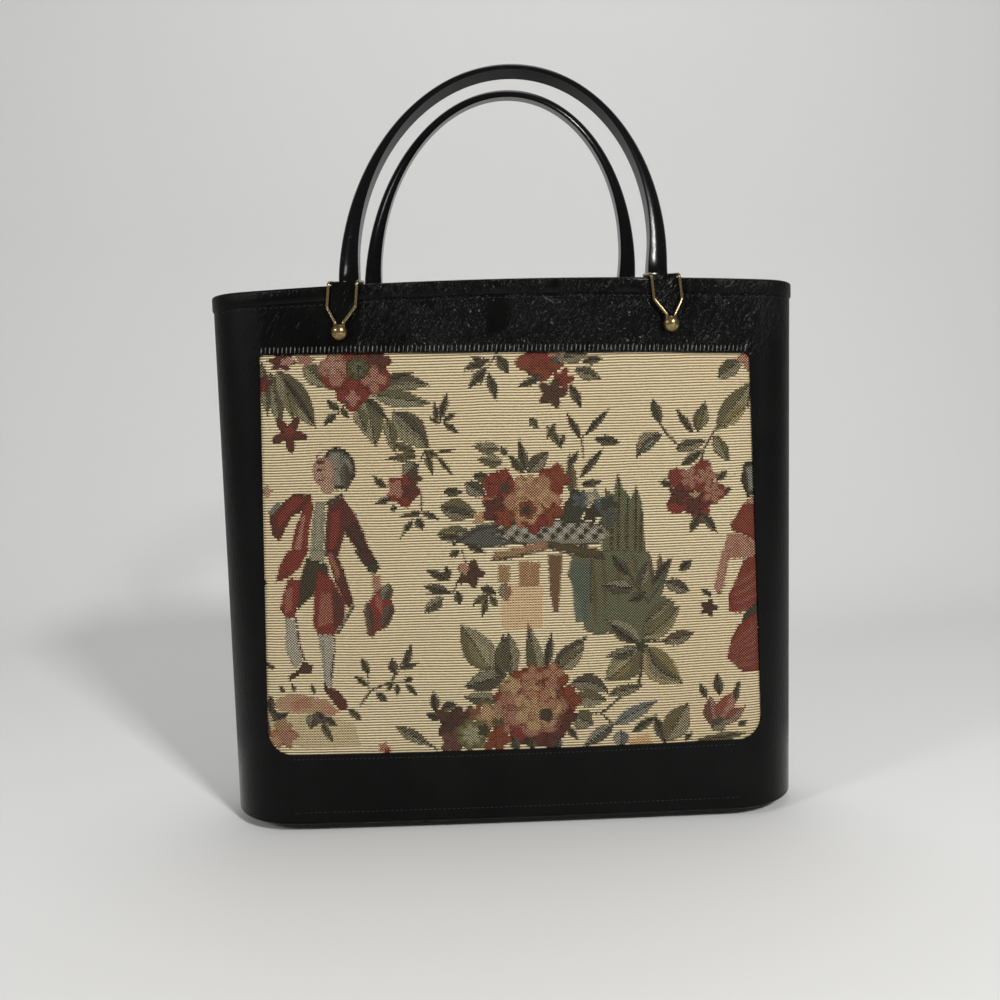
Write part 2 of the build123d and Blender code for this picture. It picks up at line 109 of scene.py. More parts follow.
class Finish:
    """One material, made around a Principled shader."""

    def __init__(self, name, roughness=0.5, metallic=0.0, **fixed):
        self.material = bpy.data.materials.new(name)
        self.material.use_nodes = True
        self.tree = self.material.node_tree
        self.shader = self.tree.nodes["Principled BSDF"]
        self.shader.inputs["Roughness"].default_value = roughness
        self.shader.inputs["Metallic"].default_value = metallic
        for socket, value in fixed.items():
            self.shader.inputs[socket.replace("_", " ")].default_value = value

    def node(self, kind, settings=None, inputs=None, out=0):
        """Adds a node: its settings first, then its inputs, as values or as links."""
        made = self.tree.nodes.new("ShaderNode" + kind)
        for key, value in (settings or {}).items():
            if key == "stops":
                for _ in range(len(value) - 2):
                    made.color_ramp.elements.new(0.5)
                for element, (place, colour) in zip(made.color_ramp.elements, value):
                    element.position = place
                    element.color = (*colour, 1.0)
            else:
                setattr(made, key, value)
        for key, value in (inputs or {}).items():
            if isinstance(value, Value):
                self.tree.links.new(value.socket, made.inputs[key])
            else:
                made.inputs[key].default_value = value
        return Value(self, made.outputs[out])

    def place(self):
        """Object coordinates in metres."""
        return self.node("TexCoord", out="Object")

    def axis(self, place, letter):
        return self.node("SeparateXYZ", inputs={"Vector": place}, out=letter)

    def stretched(self, place, length, turn=0.0):
        """Coordinates turned about Y, then divided by three lengths: a pattern grows that much
        longer along each axis."""
        inputs = {"Vector": place, "Rotation": (0.0, turn, 0.0), "Scale": length}
        return self.node("Mapping", {"vector_type": "TEXTURE"}, inputs)

    def noise(self, place, scale, detail=3.0, roughness=0.55, distortion=0.0):
        inputs = {"Vector": place, "Scale": scale, "Detail": detail, "Roughness": roughness}
        inputs["Distortion"] = distortion
        return self.node("TexNoise", inputs=inputs)

    def cells(self, place, scale, feature="F1"):
        return self.node(
            "TexVoronoi", {"feature": feature}, {"Vector": place, "Scale": scale}, out="Distance"
        )

    def mix(self, amount, first, second):
        """Goes from the first colour to the second as the amount goes from 0 to 1."""
        rgba = [c if isinstance(c, Value) else (*c, 1.0) for c in (first, second)]
        settings = {"data_type": "RGBA", "clamp_factor": True}
        return self.node("Mix", settings, {0: amount, 6: rgba[0], 7: rgba[1]}, out=2)

    def colour(self, value):
        self.feed("Base Color", value if isinstance(value, Value) else (*value, 1.0))

    def feed(self, socket, value):
        if isinstance(value, Value):
            self.tree.links.new(value.socket, self.shader.inputs[socket])
        else:
            self.shader.inputs[socket].default_value = value

    def bump(self, height, depth):
        """Turns a height from 0 to 1, times a depth in metres, into a bent normal."""
        self.feed("Normal", self.node("Bump", inputs={"Strength": 1.0, "Distance": depth, "Height": height}))


# %% [markdown]
# ## Surfaces from arrays
#
# Each new piece is a grid of points computed at once, or many copies of one small grid. The faces
# of a grid follow from its size alone, so one helper turns any array of points into a mesh.


# %% Grids of points to meshes
def grid_faces(rows, columns, wrap_rows=False, wrap_columns=False):
    """Quads of a grid, as vertex numbers: each joins a point, the next in its row, and the two above."""
    r = np.arange(rows if wrap_rows else rows - 1)[:, None]
    c = np.arange(columns if wrap_columns else columns - 1)[None, :]
    up, right = (r + 1) % rows, (c + 1) % columns
    quads = [r * columns + c, r * columns + right, up * columns + right, up * columns + c]
    return np.stack([q + 0 * r + 0 * c for q in quads], -1).reshape(-1, 4)


def make_mesh(name, points, faces, finish, body="bag", smooth=True):
    """A mesh from points in millimetres and quads, riding on a body."""
    mesh = bpy.data.meshes.new(name)
    mesh.from_pydata((np.asarray(points, float).reshape(-1, 3) * MM).tolist(), [], np.asarray(faces).tolist())
    mesh.validate()
    mesh.shade_smooth() if smooth else None
    mesh.materials.append(finish.material)
    piece = bpy.data.objects.new(name, mesh)
    bpy.context.scene.collection.objects.link(piece)
    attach(piece, body)
    return piece


# %% [markdown]
# ## The wall of the bag
#
# The body is a tapered tub whose plan is eight arcs: front and back, two ends, four corners. A
# point of the wall is found from a place round the ring and a height: the same place on the base
# ring and on the top ring, joined by a straight line. An inset makes every arc's radius smaller.

# %% The tub's rings and a point of its wall
FOOT_HEIGHT = 5.0
RIM_HEIGHT = 295.0
RIM_DROP = 1.4
LOFT_TOP = 299.4
BASE_PLAN = {"half_width": 160.4, "half_depth": 44.9, "front": 6000.0, "end": 60.0, "corner": 42.0}
TOP_PLAN = {"half_width": 161.1, "half_depth": 56.3, "front": 526.0, "end": 83.0, "corner": 26.0}


def ring_arcs(half_width, half_depth, front, end, corner):
    """Centre, radius, start and turn of the eight arcs. A corner circle touches the front and the
    end arc from inside, so its centre lies at the difference of the radii from both centres."""
    front_y, end_x = front - half_depth, half_width - end
    line = np.array([end_x, -front_y])
    length = np.hypot(*line)
    along = ((front - corner) ** 2 - (end - corner) ** 2 + length**2) / (2 * length)
    across = math.sqrt((front - corner) ** 2 - along**2)
    unit = line / length
    x, y = np.array([0, front_y]) + unit * along + np.array([-unit[1], unit[0]]) * across
    a, b = math.atan2(x, front_y - y), math.atan2(-y, x - end_x)
    q, turn = math.pi / 2, math.pi / 2 - a - b
    rows = [
        (0, front_y, front, -q - a, 2 * a),
        (x, y, corner, -q + a, turn),
        (end_x, 0, end, -b, 2 * b),
        (x, -y, corner, b, turn),
        (0, -front_y, front, q - a, 2 * a),
        (-x, -y, corner, q + a, turn),
        (-end_x, 0, end, 2 * q - b, 2 * b),
        (-x, y, corner, 2 * q + b, turn),
    ]
    return np.array(rows)


BASE_RING = ring_arcs(*BASE_PLAN.values())
TOP_RING = ring_arcs(*TOP_PLAN.values())


def ring_point(ring, place, inset):
    """x and y at a place from 0 to 8 round a ring: arc number place // 1, angle start + turn * rest."""
    place = np.mod(place, 8)
    arc = ring[np.minimum(place.astype(int), 7)]
    angle = arc[..., 3] + arc[..., 4] * (place - np.floor(place))
    radius = arc[..., 2] - inset
    return arc[..., 0] + radius * np.cos(angle), arc[..., 1] + radius * np.sin(angle)


def wall_point(place, z, inset=0.0):
    """A point of the wall in millimetres: a straight line from the base ring to the top ring."""
    place, z, inset = np.broadcast_arrays(np.asarray(place, float), np.asarray(z, float), inset)
    share = (z - FOOT_HEIGHT) / (LOFT_TOP - FOOT_HEIGHT)
    base, top = ring_point(BASE_RING, place, inset), ring_point(TOP_RING, place, inset)
    return np.stack([base[0] + share * (top[0] - base[0]), base[1] + share * (top[1] - base[1]), z], -1)


# The front runs from the left corner arc (7 to 8) over the front arc (0 to 1) to the right one.
FRONT_PLACES = np.concatenate([np.linspace(-1, 0, 400), np.linspace(0, 1, 1600), np.linspace(1, 2, 400)])


def front_point(x, z, inset=0.0, side=-1):
    """The wall's point at a width x and a height z, by looking x up along the ring at that height."""
    x, z = np.broadcast_arrays(np.asarray(x, float), np.asarray(z, float))
    flat_x, flat_z = x.ravel(), z.ravel()
    places = np.empty(flat_x.shape)
    heights, row_of = np.unique(flat_z.round(3), return_inverse=True)
    for row, height in enumerate(heights):
        here = row_of == row
        places[here] = np.interp(flat_x[here], wall_point(FRONT_PLACES, height, inset)[:, 0], FRONT_PLACES)
    points = wall_point(places, flat_z, inset).reshape(*x.shape, 3)
    points[..., 1] *= -side
    return points


def rim_at(x):
    """The rim's height: a long arc that falls a little towards the two ends."""
    radius = (TOP_PLAN["half_width"] ** 2 + RIM_DROP**2) / (2 * RIM_DROP)
    return RIM_HEIGHT - radius + np.sqrt(radius**2 - np.asarray(x, float) ** 2)


print("front middle at the rim:", front_point(0.0, RIM_HEIGHT).round(2))

# %% [markdown]
# ## Camera
#
# The camera stands in front of the bag and a little to its left, at about the height of the
# window's top. Its place and turn were fitted to the rim, the window and the body's lower edge.

# %% Camera
CAMERA_PLACE = (-17.3, -576.8, 221.4)
CAMERA_YAW, CAMERA_PITCH, CAMERA_ROLL = 0.0223, 0.0775, -0.0277

forward = Vector(
    (
        math.sin(CAMERA_YAW) * math.cos(CAMERA_PITCH),
        math.cos(CAMERA_YAW) * math.cos(CAMERA_PITCH),
        -math.sin(CAMERA_PITCH),
    )
)
level_right = Vector((math.cos(CAMERA_YAW), -math.sin(CAMERA_YAW), 0))
level_up = level_right.cross(forward)
right = math.cos(CAMERA_ROLL) * level_right + math.sin(CAMERA_ROLL) * level_up
up = -math.sin(CAMERA_ROLL) * level_right + math.cos(CAMERA_ROLL) * level_up
lens = bpy.data.cameras.new("camera")
lens.lens = 36.0
lens.sensor_width = 36.0
lens.clip_start = 0.01
camera = bpy.data.objects.new("camera", lens)
bpy.context.scene.collection.objects.link(camera)
turn = Matrix((right, up, -forward)).transposed().to_4x4()
camera.matrix_world = Matrix.Translation(Vector(CAMERA_PLACE) * MM) @ turn
bpy.context.scene.camera = camera

# %% [markdown]
# ## Floor and light
#
# The bag stands on a pale floor that curves up into a pale wall, as in a photographer's studio.
# Black gloss shows mainly what it reflects, so the room in front of the bag is dim, and the lamps
# are few and soft: one from the right and above, a weak one from the left, and one overhead.

# %% Floor, wall and lamps
bpy.context.scene.view_settings.view_transform = "Standard"
world = bpy.data.worlds.new("studio")
bpy.context.scene.world = world
world.use_nodes = True
background = world.node_tree.nodes["Background"]
background.inputs["Color"].default_value = (1.0, 0.99, 0.97, 1.0)
background.inputs["Strength"].default_value = 0.22


def studio_sheet(width=4.6, front=-1.6, back=0.95, curve=0.5, top=2.4):
    """One sheet: the floor, a quarter circle, and the wall, in metres."""
    bend = np.linspace(0, np.pi / 2, 24)
    y = np.concatenate([np.linspace(front, back - curve, 12)[:-1], back - curve + curve * np.sin(bend), [back]])
    z = np.concatenate([np.zeros(11), curve * (1 - np.cos(bend)), [top]])
    x = np.linspace(-width / 2, width / 2, 9)
    points = np.stack([x[None, :] + 0 * y[:, None], y[:, None] + 0 * x, z[:, None] + 0 * x], -1)
    mesh = bpy.data.meshes.new("studio_sheet")
    mesh.from_pydata(points.reshape(-1, 3).tolist(), [], grid_faces(*points.shape[:2]).tolist())
    mesh.shade_smooth()
    sheet = bpy.data.objects.new("studio_sheet", mesh)
    bpy.context.scene.collection.objects.link(sheet)
    return sheet


floor_finish = Finish("pale_floor", roughness=0.7)
floor_finish.colour((0.74, 0.74, 0.73))
floor = studio_sheet()
floor.data.materials.append(floor_finish.material)


def lamp(name, place, target, size, power):
    """A square area lamp at a place in metres, aimed at a target."""
    light = bpy.data.lights.new(name, "AREA")
    light.shape = "RECTANGLE"
    light.size, light.size_y = size
    light.energy = power
    holder = bpy.data.objects.new(name, light)
    bpy.context.scene.collection.objects.link(holder)
    holder.location = place
    holder.rotation_euler = (Vector(target) - Vector(place)).to_track_quat("-Z", "Y").to_euler()
    return holder


BAG_MIDDLE = (0.0, 0.0, 0.18)
lamp("key", (0.6, -1.2, 0.95), BAG_MIDDLE, (0.16, 0.16), 18.0)
lamp("fill", (-1.3, -1.0, 0.9), BAG_MIDDLE, (0.3, 0.3), 8.0)
lamp("overhead", (0.1, 0.5, 1.9), (0.0, 0.45, 0.2), (1.2, 0.6), 7.0)

# %% [markdown]
# ## Leather, brass, gloss handles, lining and boards
#
# The leather is black and glossy. Its band above the window is crinkled, its sides have a fine
# upright grain, and its lower band is nearly smooth. One finish makes all three: two patterns of
# height, one of folded noise and one of drawn-out noise, each faded in by its place on the bag.


# %% Finishes of the hard parts
def black_leather():
    """Ridges are noise folded at its middle, 1 - |2n - 1| raised to a power. The noise is turned
    and drawn out, so that the ridges run long and slanting."""
    f = Finish("black_leather", roughness=0.3, Specular_IOR_Level=0.11)
    place = f.place()
    height = f.axis(place, "Z")
    across = f.axis(place, "X").absolute()

    def ridges(turn, scale, power):
        slanted = f.stretched(place, (1.0, 1.0, 3.2), math.radians(turn))
        folded = (f.noise(slanted, scale, 2.0, 0.5, 0.5) * 2.0 - 1.0).absolute()
        return (1.0 - folded) ** power

    crinkle = ridges(25, 330.0, 4.0) + ridges(-15, 560.0, 4.0) * 0.5
    patches = f.noise(place, 48.0, 2.0).step(0.3, 0.6) * f.axis(place, "X").step(-0.09, -0.02)
    upright = f.noise(f.stretched(place, (1.0, 1.0, 11.0)), 1500.0, 3.0)
    fine = f.noise(place, 2600.0, 2.0)
    top_band = height.step(0.248, 0.258)
    low_band = 1.0 - height.step(0.030, 0.050)
    side = across.step(0.126, 0.138) * (1.0 - low_band)
    strong = top_band * (1.0 - side * 0.8) * (0.04 + 0.96 * patches)
    relief = crinkle * strong + upright * side * 0.2 + crinkle * 0.03 + fine * 0.03
    f.bump(relief, 0.001)
    f.colour(f.mix(f.noise(place, 40.0).step(0.3, 0.7), (0.0012, 0.0012, 0.0012), (0.003, 0.003, 0.0028)))
    f.feed("Roughness", 0.14 + 0.1 * f.noise(place, 90.0) + 0.22 * side)
    return f


def brass():
    """Old polished brass, with duller brown spots."""
    f = Finish("brass", roughness=0.2, metallic=1.0)
    place = f.place()
    spots = f.noise(place, 900.0, 4.0).step(0.42, 0.68)
    f.colour(f.mix(spots, (0.33, 0.25, 0.12), (0.10, 0.07, 0.03)))
    f.feed("Roughness", 0.2 + 0.2 * spots)
    return f


def gloss_black():
    """Smooth moulded black with a few hairline marks."""
    f = Finish("gloss_black", roughness=0.12, Specular_IOR_Level=0.11)
    place = f.place()
    marks = f.noise(f.stretched(place, (4.0, 1.0, 1.0)), 320.0, 5.0, distortion=2.0).step(0.62, 0.7)
    f.colour(f.mix(marks, (0.0035, 0.0035, 0.004), (0.009, 0.009, 0.009)))
    f.feed("Roughness", 0.14 + 0.1 * marks + 0.05 * f.noise(place, 30.0))
    return f


def lining_cloth():
    """A fine dark twill: the sine of x + y + z makes slanting ribs 0.5 mm apart."""
    f = Finish("lining_cloth", roughness=0.75)
    place = f.place()
    slant = (f.axis(place, "X") + f.axis(place, "Y") + f.axis(place, "Z")) * (2 * math.pi / 0.0005)
    rib = slant.sine() * 0.5 + 0.5
    f.colour(f.mix(rib, (0.012, 0.011, 0.012), (0.03, 0.028, 0.028)))
    f.bump(rib, 0.0001)
    return f


def fibre_board():
    """Pressed grey-brown board, flecked."""
    f = Finish("fibre_board", roughness=0.85)
    place = f.place()
    f.colour(f.mix(f.noise(place, 700.0, 5.0), (0.16, 0.12, 0.08), (0.34, 0.27, 0.19)))
    f.bump(f.noise(place, 1200.0), 0.0002)
    return f


FINISHES = {
    "leather": black_leather(), "base_leather": None, "tab": black_leather(), "yoke": brass(), "rivet": None,
    "washers": None, "burrs": None, "foot": None, "handle": gloss_black(), "lining": lining_cloth(),
    "inner_pocket": None, "board": fibre_board(),
}
SHARED = {
    "base_leather": "leather", "rivet": "yoke", "washers": "yoke", "burrs": "yoke", "foot": "yoke",
    "inner_pocket": "lining",
}
for name, node in nodes.items():
    kind = next((k for k in ("base_leather", *FINISHES) if name.endswith(k)), None)
    if kind:
        finish = FINISHES[SHARED.get(kind, kind)]
        node.data.materials.clear()
        node.data.materials.append(finish.material)

# %% [markdown]
# ## Rim binding
#
# The top edge is bound with a strip of the same leather, folded over. Its section is a narrow
# upside-down U with round shoulders, and it is carried round the ring of the wall.

# %% Rim binding
BINDING_DEPTH = 8.0
WALL_THICKNESS = 4.4
BINDING_LIFT = 0.7


def binding_section(count=9):
    """Inset and drop of points from the outer hem over the rim to the inner hem. The shoulders are
    quarter circles of the fold's radius."""
    radius = 1.5
    outer, inner = -BINDING_LIFT, WALL_THICKNESS + BINDING_LIFT
    turn = np.linspace(0, np.pi / 2, count)
    shoulder_out = np.stack([outer + radius * (1 - np.cos(turn)), radius * (1 - np.sin(turn))], -1)
    shoulder_in = np.stack([inner - radius * (1 - np.sin(turn)), radius * (1 - np.cos(turn))], -1)
    hem = np.array([(0.0, BINDING_DEPTH), (outer * 0.55, BINDING_DEPTH - 0.05), (outer, BINDING_DEPTH - 0.6)])
    inner_hem = np.array([(inner, BINDING_DEPTH - 0.4), (WALL_THICKNESS, BINDING_DEPTH)])
    return np.concatenate([hem, [(outer, 4.0)], shoulder_out, shoulder_in, inner_hem])


section = binding_section()
places = np.linspace(0, 8, 8 * 60, endpoint=False)
ring_x = wall_point(places, RIM_HEIGHT)[:, 0]
heights = rim_at(ring_x)[None, :] - section[:, 1][:, None]
binding_points = wall_point(places[None, :], heights, section[:, 0][:, None])
binding = make_mesh(
    "binding_fold", binding_points, grid_faces(*binding_points.shape[:2], wrap_rows=True, wrap_columns=True),
    FINISHES["leather"],
)
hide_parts("rim_binding")

# %% [markdown]
# ## The woven panel: its drawing
#
# The panel is a machine tapestry. Weavers work from a full-size drawing, so this file keeps one,
# on four sheets. Each sheet's corners are fixed to places on the panel, and shapes are drawn on
# it in steps of about 0.87 mm. A shape is a formula that says how far each point of the weave
# lies inside it: a leaf is a lens about a line, a blossom is a circle whose radius waves, a field
# is a polygon. Painting this way, on the points of the mesh, needs no picture.

# %% Sheets and colours of the drawing
SHEET_CORNERS = {
    "upper_left": ((-133.0, 265.9), (4.3, 261.1), (-137.8, 153.9), (1.6, 151.0)),
    "upper_right": ((-0.9, 261.2), (142.8, 259.0), (-3.7, 151.2), (140.9, 145.3)),
    "lower_left": ((-137.7, 156.6), (1.7, 153.7), (-142.5, 42.1), (-1.2, 37.9)),
    "lower_right": ((-3.6, 153.8), (140.9, 148.0), (-6.6, 38.1), (139.2, 32.1)),
}
SHEET_STEPS = {"upper_left": (156.8, 126.6), "upper_right": (156.8, 124.2),
               "lower_left": (156.8, 126.6), "lower_right": (156.8, 124.2)}


def srgb(red, green, blue):
    """A colour chosen on a 0 to 255 scale, as the linear light that shaders mix."""
    c = np.array([red, green, blue]) / 255
    return np.where(c <= 0.04045, c / 12.92, ((c + 0.055) / 1.055) ** 2.4)


CREAM = srgb(226, 208, 168)
DARK = srgb(30, 26, 24)
OLIVE = srgb(92, 84, 46)
OLIVE_LIGHT = srgb(128, 120, 70)
OLIVE_DARK = srgb(50, 46, 28)
GREEN_DARK = srgb(42, 52, 38)
SAGE = srgb(112, 118, 86)
BLUE = srgb(84, 98, 100)
OCHRE = srgb(180, 120, 56)
RUST = srgb(150, 62, 30)
RED = srgb(148, 36, 30)
RED_DARK = srgb(98, 18, 24)
RED_LIGHT = srgb(188, 74, 58)
ORANGE = srgb(200, 96, 48)
PEACH = srgb(230, 166, 104)
PINK = srgb(210, 124, 100)
BROWN = srgb(80, 42, 30)
WINE = srgb(66, 22, 28)
YELLOW = srgb(190, 160, 76)
GREY = srgb(132, 138, 124)
FLESH = srgb(220, 154, 128)


class Drawing:
    """The colour of every stitch of the weave, how far it is figured, and how far cream stitches
    show between the coloured ones."""

    def __init__(self, x, z):
        self.x, self.z = x, z
        self.colour = np.repeat(CREAM[None, :], x.size, 0)
        self.figure = np.zeros(x.size)
        self.dots = np.zeros(x.size)
        on_rib = np.unique(z.round(3), return_inverse=True)[1] % 2 == 0
        self.ragged = np.where(on_rib, -0.3, 0.25) + np.random.default_rng(7).uniform(-0.3, 0.3, x.size)
        self.sheet = "upper_left"

    def at(self, points):
        """Turns places in steps on the current sheet into millimetres on the panel, by blending
        the sheet's four corners."""
        p = np.atleast_2d(np.asarray(points, float)) / SHEET_STEPS[self.sheet]
        u, v = p[:, :1], p[:, 1:]
        a, b, c, d = (np.array(corner) for corner in SHEET_CORNERS[self.sheet])
        return a * (1 - u) * (1 - v) + b * u * (1 - v) + c * (1 - u) * v + d * u * v

    def lay(self, inside, colour, edge=0.2, solid=1.0, dots=0.15):
        """Mixes a colour in where the distance inside the shape, in mm, is positive. The edge is
        ragged: each stitch moves it a little, and the rows on the ribs stop short of it."""
        mask = np.clip((inside + self.ragged) / (2 * edge) + 0.5, 0, 1) * solid
        self.colour += mask[:, None] * (np.asarray(colour) - self.colour)
        self.dots += mask * (dots - self.dots)
        self.figure = np.maximum(self.figure, mask)

    def frame_of(self, start, end):
        """Coordinates along and across the line from start to end: 0 to 1 along, mm across."""
        a, b = self.at([start, end])
        axis = b - a
        length = np.hypot(*axis)
        unit = axis / length
        dx, dz = self.x - a[0], self.z - a[1]
        return (dx * unit[0] + dz * unit[1]) / length, -dx * unit[1] + dz * unit[0], length

    def leaf(self, start, end, width, light=OLIVE, dark=OLIVE_DARK, bend=0.0, rib=True):
        """A lens from stalk to tip: half width times the sine of pi u, u slowed near the stalk.
        Its two halves differ in tone and meet at a dark rib."""
        along, across, length = self.frame_of(start, end)
        u = np.clip(along, 0, 1)
        across = across - bend * 4 * u * (1 - u)
        half = width * 0.435 * np.sin(np.pi * u**0.85)
        inside = np.where((along > 0) & (along < 1), half - np.abs(across), -1.0)
        narrow = width < 7.5
        self.lay(inside, dark if narrow else light, dots=0.3 if narrow else 0.75)
        self.lay(np.minimum(inside, across), dark, solid=0.8, dots=0.12)
        if not narrow:
            self.lay(np.minimum(inside, 0.55 - inside), dark, solid=0.75, dots=0.1)
            veins = np.cos(2 * np.pi * (along * length / 5.0 - np.abs(across) / 4.0))
            self.lay(np.minimum(inside, veins - 0.62), dark, solid=0.5, dots=0.2)
        if rib:
            self.lay(np.minimum(inside, 0.34 - np.abs(across)), OLIVE_DARK * 0.3, solid=0.85, dots=0.0)

    def leaves(self, rows, light=OLIVE, dark=OLIVE_DARK):
        for row in rows:
            self.leaf(row[:2], row[2:4], row[4], light, dark)

    def stroke(self, points, width, colour):
        """A line through points: the distance inside is half the width less the way to the line."""
        route = self.at(points)
        nearest = np.full(self.x.size, 1e9)
        for a, b in zip(route[:-1], route[1:]):
            axis = b - a
            t = ((self.x - a[0]) * axis[0] + (self.z - a[1]) * axis[1]) / (axis @ axis)
            t = np.clip(t, 0, 1)
            gap = np.hypot(self.x - a[0] - t * axis[0], self.z - a[1] - t * axis[1])
            nearest = np.minimum(nearest, gap)
        self.lay(width * 0.435 - nearest, colour)

    def bloom(self, centre, radius, petals, colour, wave=0.22, turn=0.0, squash=1.0):
        """A blossom: the radius waves round the centre, 1 + wave * cos(petals * angle)."""
        c = self.at([centre])[0]
        dx, dz = self.x - c[0], (self.z - c[1]) / squash
        angle, way = np.arctan2(dz, dx), np.hypot(dx, dz)
        edge = radius * 0.87 * (1 + wave * np.cos(petals * angle + turn))
        pale = np.mean(colour) > 0.16
        self.lay(edge - way, colour, dots=0.55 if pale else 0.12)
        if radius > 5:
            rim = np.minimum(edge - way, way - edge + 0.9)
            self.lay(rim, np.asarray(colour) * 0.35, solid=0.55, dots=0.05)
            notch = np.minimum(edge - way, -np.cos(petals * angle + turn) - 0.93 + 0.02 * way)
            self.lay(notch, np.asarray(colour) * 0.3, solid=0.8, dots=0.05)

    def field(self, points, colour, solid=1.0, dots=None):
        """A polygon: inside by the even-odd rule, softened by the way to its nearest side."""
        corners = self.at(points)
        inside = np.zeros(self.x.size, bool)
        nearest = np.full(self.x.size, 1e9)
        for a, b in zip(corners, np.roll(corners, -1, 0)):
            crosses = (a[1] > self.z) != (b[1] > self.z)
            rise = b[1] - a[1] if b[1] != a[1] else 1e-9
            inside ^= crosses & (self.x < (b[0] - a[0]) * (self.z - a[1]) / rise + a[0])
            axis = b - a
            t = np.clip(((self.x - a[0]) * axis[0] + (self.z - a[1]) * axis[1]) / (axis @ axis), 0, 1)
            gap = np.hypot(self.x - a[0] - t * axis[0], self.z - a[1] - t * axis[1])
            nearest = np.minimum(nearest, gap)
        depth = np.where(inside, nearest, -nearest)
        if dots is None:
            dots = 0.5 if np.mean(colour) > 0.16 else 0.12
        self.lay(depth, colour, solid=solid, dots=dots)
        if solid == 1.0:
            self.lay(np.minimum(depth, 0.75 - depth), np.asarray(colour) * 0.3, solid=0.6, dots=0.05)


# %% [markdown]
# ### Drawing the upper half
#
# Blossoms hang from the top corners over olive leaves. A figure in a red coat stands at the left,
# and in the middle a bowl of roses stands on a plinth in front of a tree.


# %% Upper left sheet
def draw_upper_left(d):
    d.sheet = "upper_left"
    d.leaves([(9, 16, 16, 49, 11), (13, 15, 38, 50, 17), (30, 12, 46, 26, 12), (4, 10, 8, 44, 8)], OLIVE_LIGHT, OLIVE_DARK)
    d.leaf((19, 24), (24, 46), 7, YELLOW, OLIVE_LIGHT)
    d.leaf((16, 18), (37, 48), 5, OLIVE_DARK, DARK)
    d.bloom((17, 10), 8, 6, RED_DARK, turn=1.0, squash=0.6)
    d.bloom((20, 10), 4, 5, PINK, squash=0.6)
    d.bloom((31, 9), 5, 5, RED_LIGHT, squash=0.7)
    d.bloom((5, 23), 5, 5, RED_DARK)
    d.bloom((3, 25), 3, 5, RED)
    d.bloom((21, 53), 8.5, 5, RED_DARK, wave=0.4, turn=1.2)
    d.bloom((21, 52), 3, 5, RED)
    d.leaf((78, 26), (106, 24), 10, OLIVE, OLIVE_DARK, 2)
    d.leaf((76, 24), (97, 16), 7, OLIVE, OLIVE_DARK)
    d.leaf((70, 29), (107, 35), 11, SAGE, OLIVE)
    d.leaf((68, 31), (74, 61), 16, OLIVE_LIGHT, OLIVE)
    d.leaf((66, 30), (82, 46), 7, DARK, OLIVE_DARK)
    d.leaf((62, 36), (68, 52), 9, OLIVE_LIGHT, OLIVE)
    d.leaf((84, 40), (106, 62), 18, OLIVE_LIGHT, OLIVE_DARK)
    d.leaf((84, 39), (104, 57), 8, OLIVE_DARK, DARK)
    d.leaf((80, 42), (86, 66), 8, OLIVE_LIGHT, OLIVE)
    d.bloom((62, 15), 20, 5, RED, wave=0.12, turn=2.0)
    d.bloom((50, 14), 10, 4, RED_LIGHT, wave=0.15)
    d.bloom((48, 12), 6, 4, PINK)
    d.bloom((74, 10), 8, 4, RED_DARK)
    d.bloom((73, 21), 7, 4, RED_LIGHT)
    d.bloom((60, 30), 9, 4, RED, wave=0.15)
    d.bloom((60, 32), 4, 4, RED_LIGHT)
    d.bloom((63, 14), 7.2, 7, OLIVE, wave=0.06)
    d.bloom((63, 14), 3.6, 7, SAGE, wave=0.06)
    d.bloom((64, 14), 1.8, 3, DARK)
    d.stroke([(57, 34), (52, 40), (43, 46)], 1.6, OLIVE_DARK)
    d.leaves([(52, 39, 44, 33, 5), (50, 41, 42, 48, 5), (53, 38, 58, 44, 4)])
    d.stroke([(112, 46), (117, 36)], 1.0, OLIVE)
    d.leaves([(112, 45, 117, 28, 5), (111, 46, 109, 34, 4), (114, 45, 122, 41, 4), (114, 46, 124, 53, 4), (112, 47, 106, 43, 3)])
    d.stroke([(146, 5), (140, 14), (136, 24)], 1.2, OLIVE_DARK)
    d.leaves([(142, 8, 126, 15, 6), (140, 13, 129, 26, 6), (141, 16, 146, 34, 6), (146, 6, 153, 17, 7), (138, 10, 131, 7, 4)], OLIVE_LIGHT, OLIVE_DARK)
    d.stroke([(104, 62), (100, 70), (94, 84)], 1.4, OLIVE_DARK)
    d.stroke([(103, 63), (120, 63)], 1.0, OLIVE)
    d.leaves([(102, 64, 112, 66, 5), (104, 64, 108, 78, 5), (110, 66, 120, 78, 4), (110, 64, 122, 62, 3), (100, 66, 79, 68, 5), (98, 64, 82, 58, 6)], OLIVE_LIGHT, OLIVE)
    d.leaf((98, 70), (90, 80), 11, OLIVE_DARK, DARK)
    d.bloom((90, 87), 9.5, 5, RED, wave=0.15, turn=0.6)
    d.bloom((86, 86), 5, 5, RED_LIGHT)
    d.bloom((94, 88), 5, 5, RED_DARK)
    d.bloom((97, 80), 4, 4, BROWN)
    d.leaves([(80, 86, 72, 78, 5), (83, 92, 73, 95, 4), (86, 97, 82, 99, 3)])
    d.stroke([(101, 88), (101, 100), (94, 106), (88, 117)], 1.0, OLIVE_DARK)
    d.leaves([(101, 100, 88, 103, 3.5), (96, 105, 90, 113, 4), (101, 100, 112, 105, 4.5), (98, 104, 102, 111, 6)])


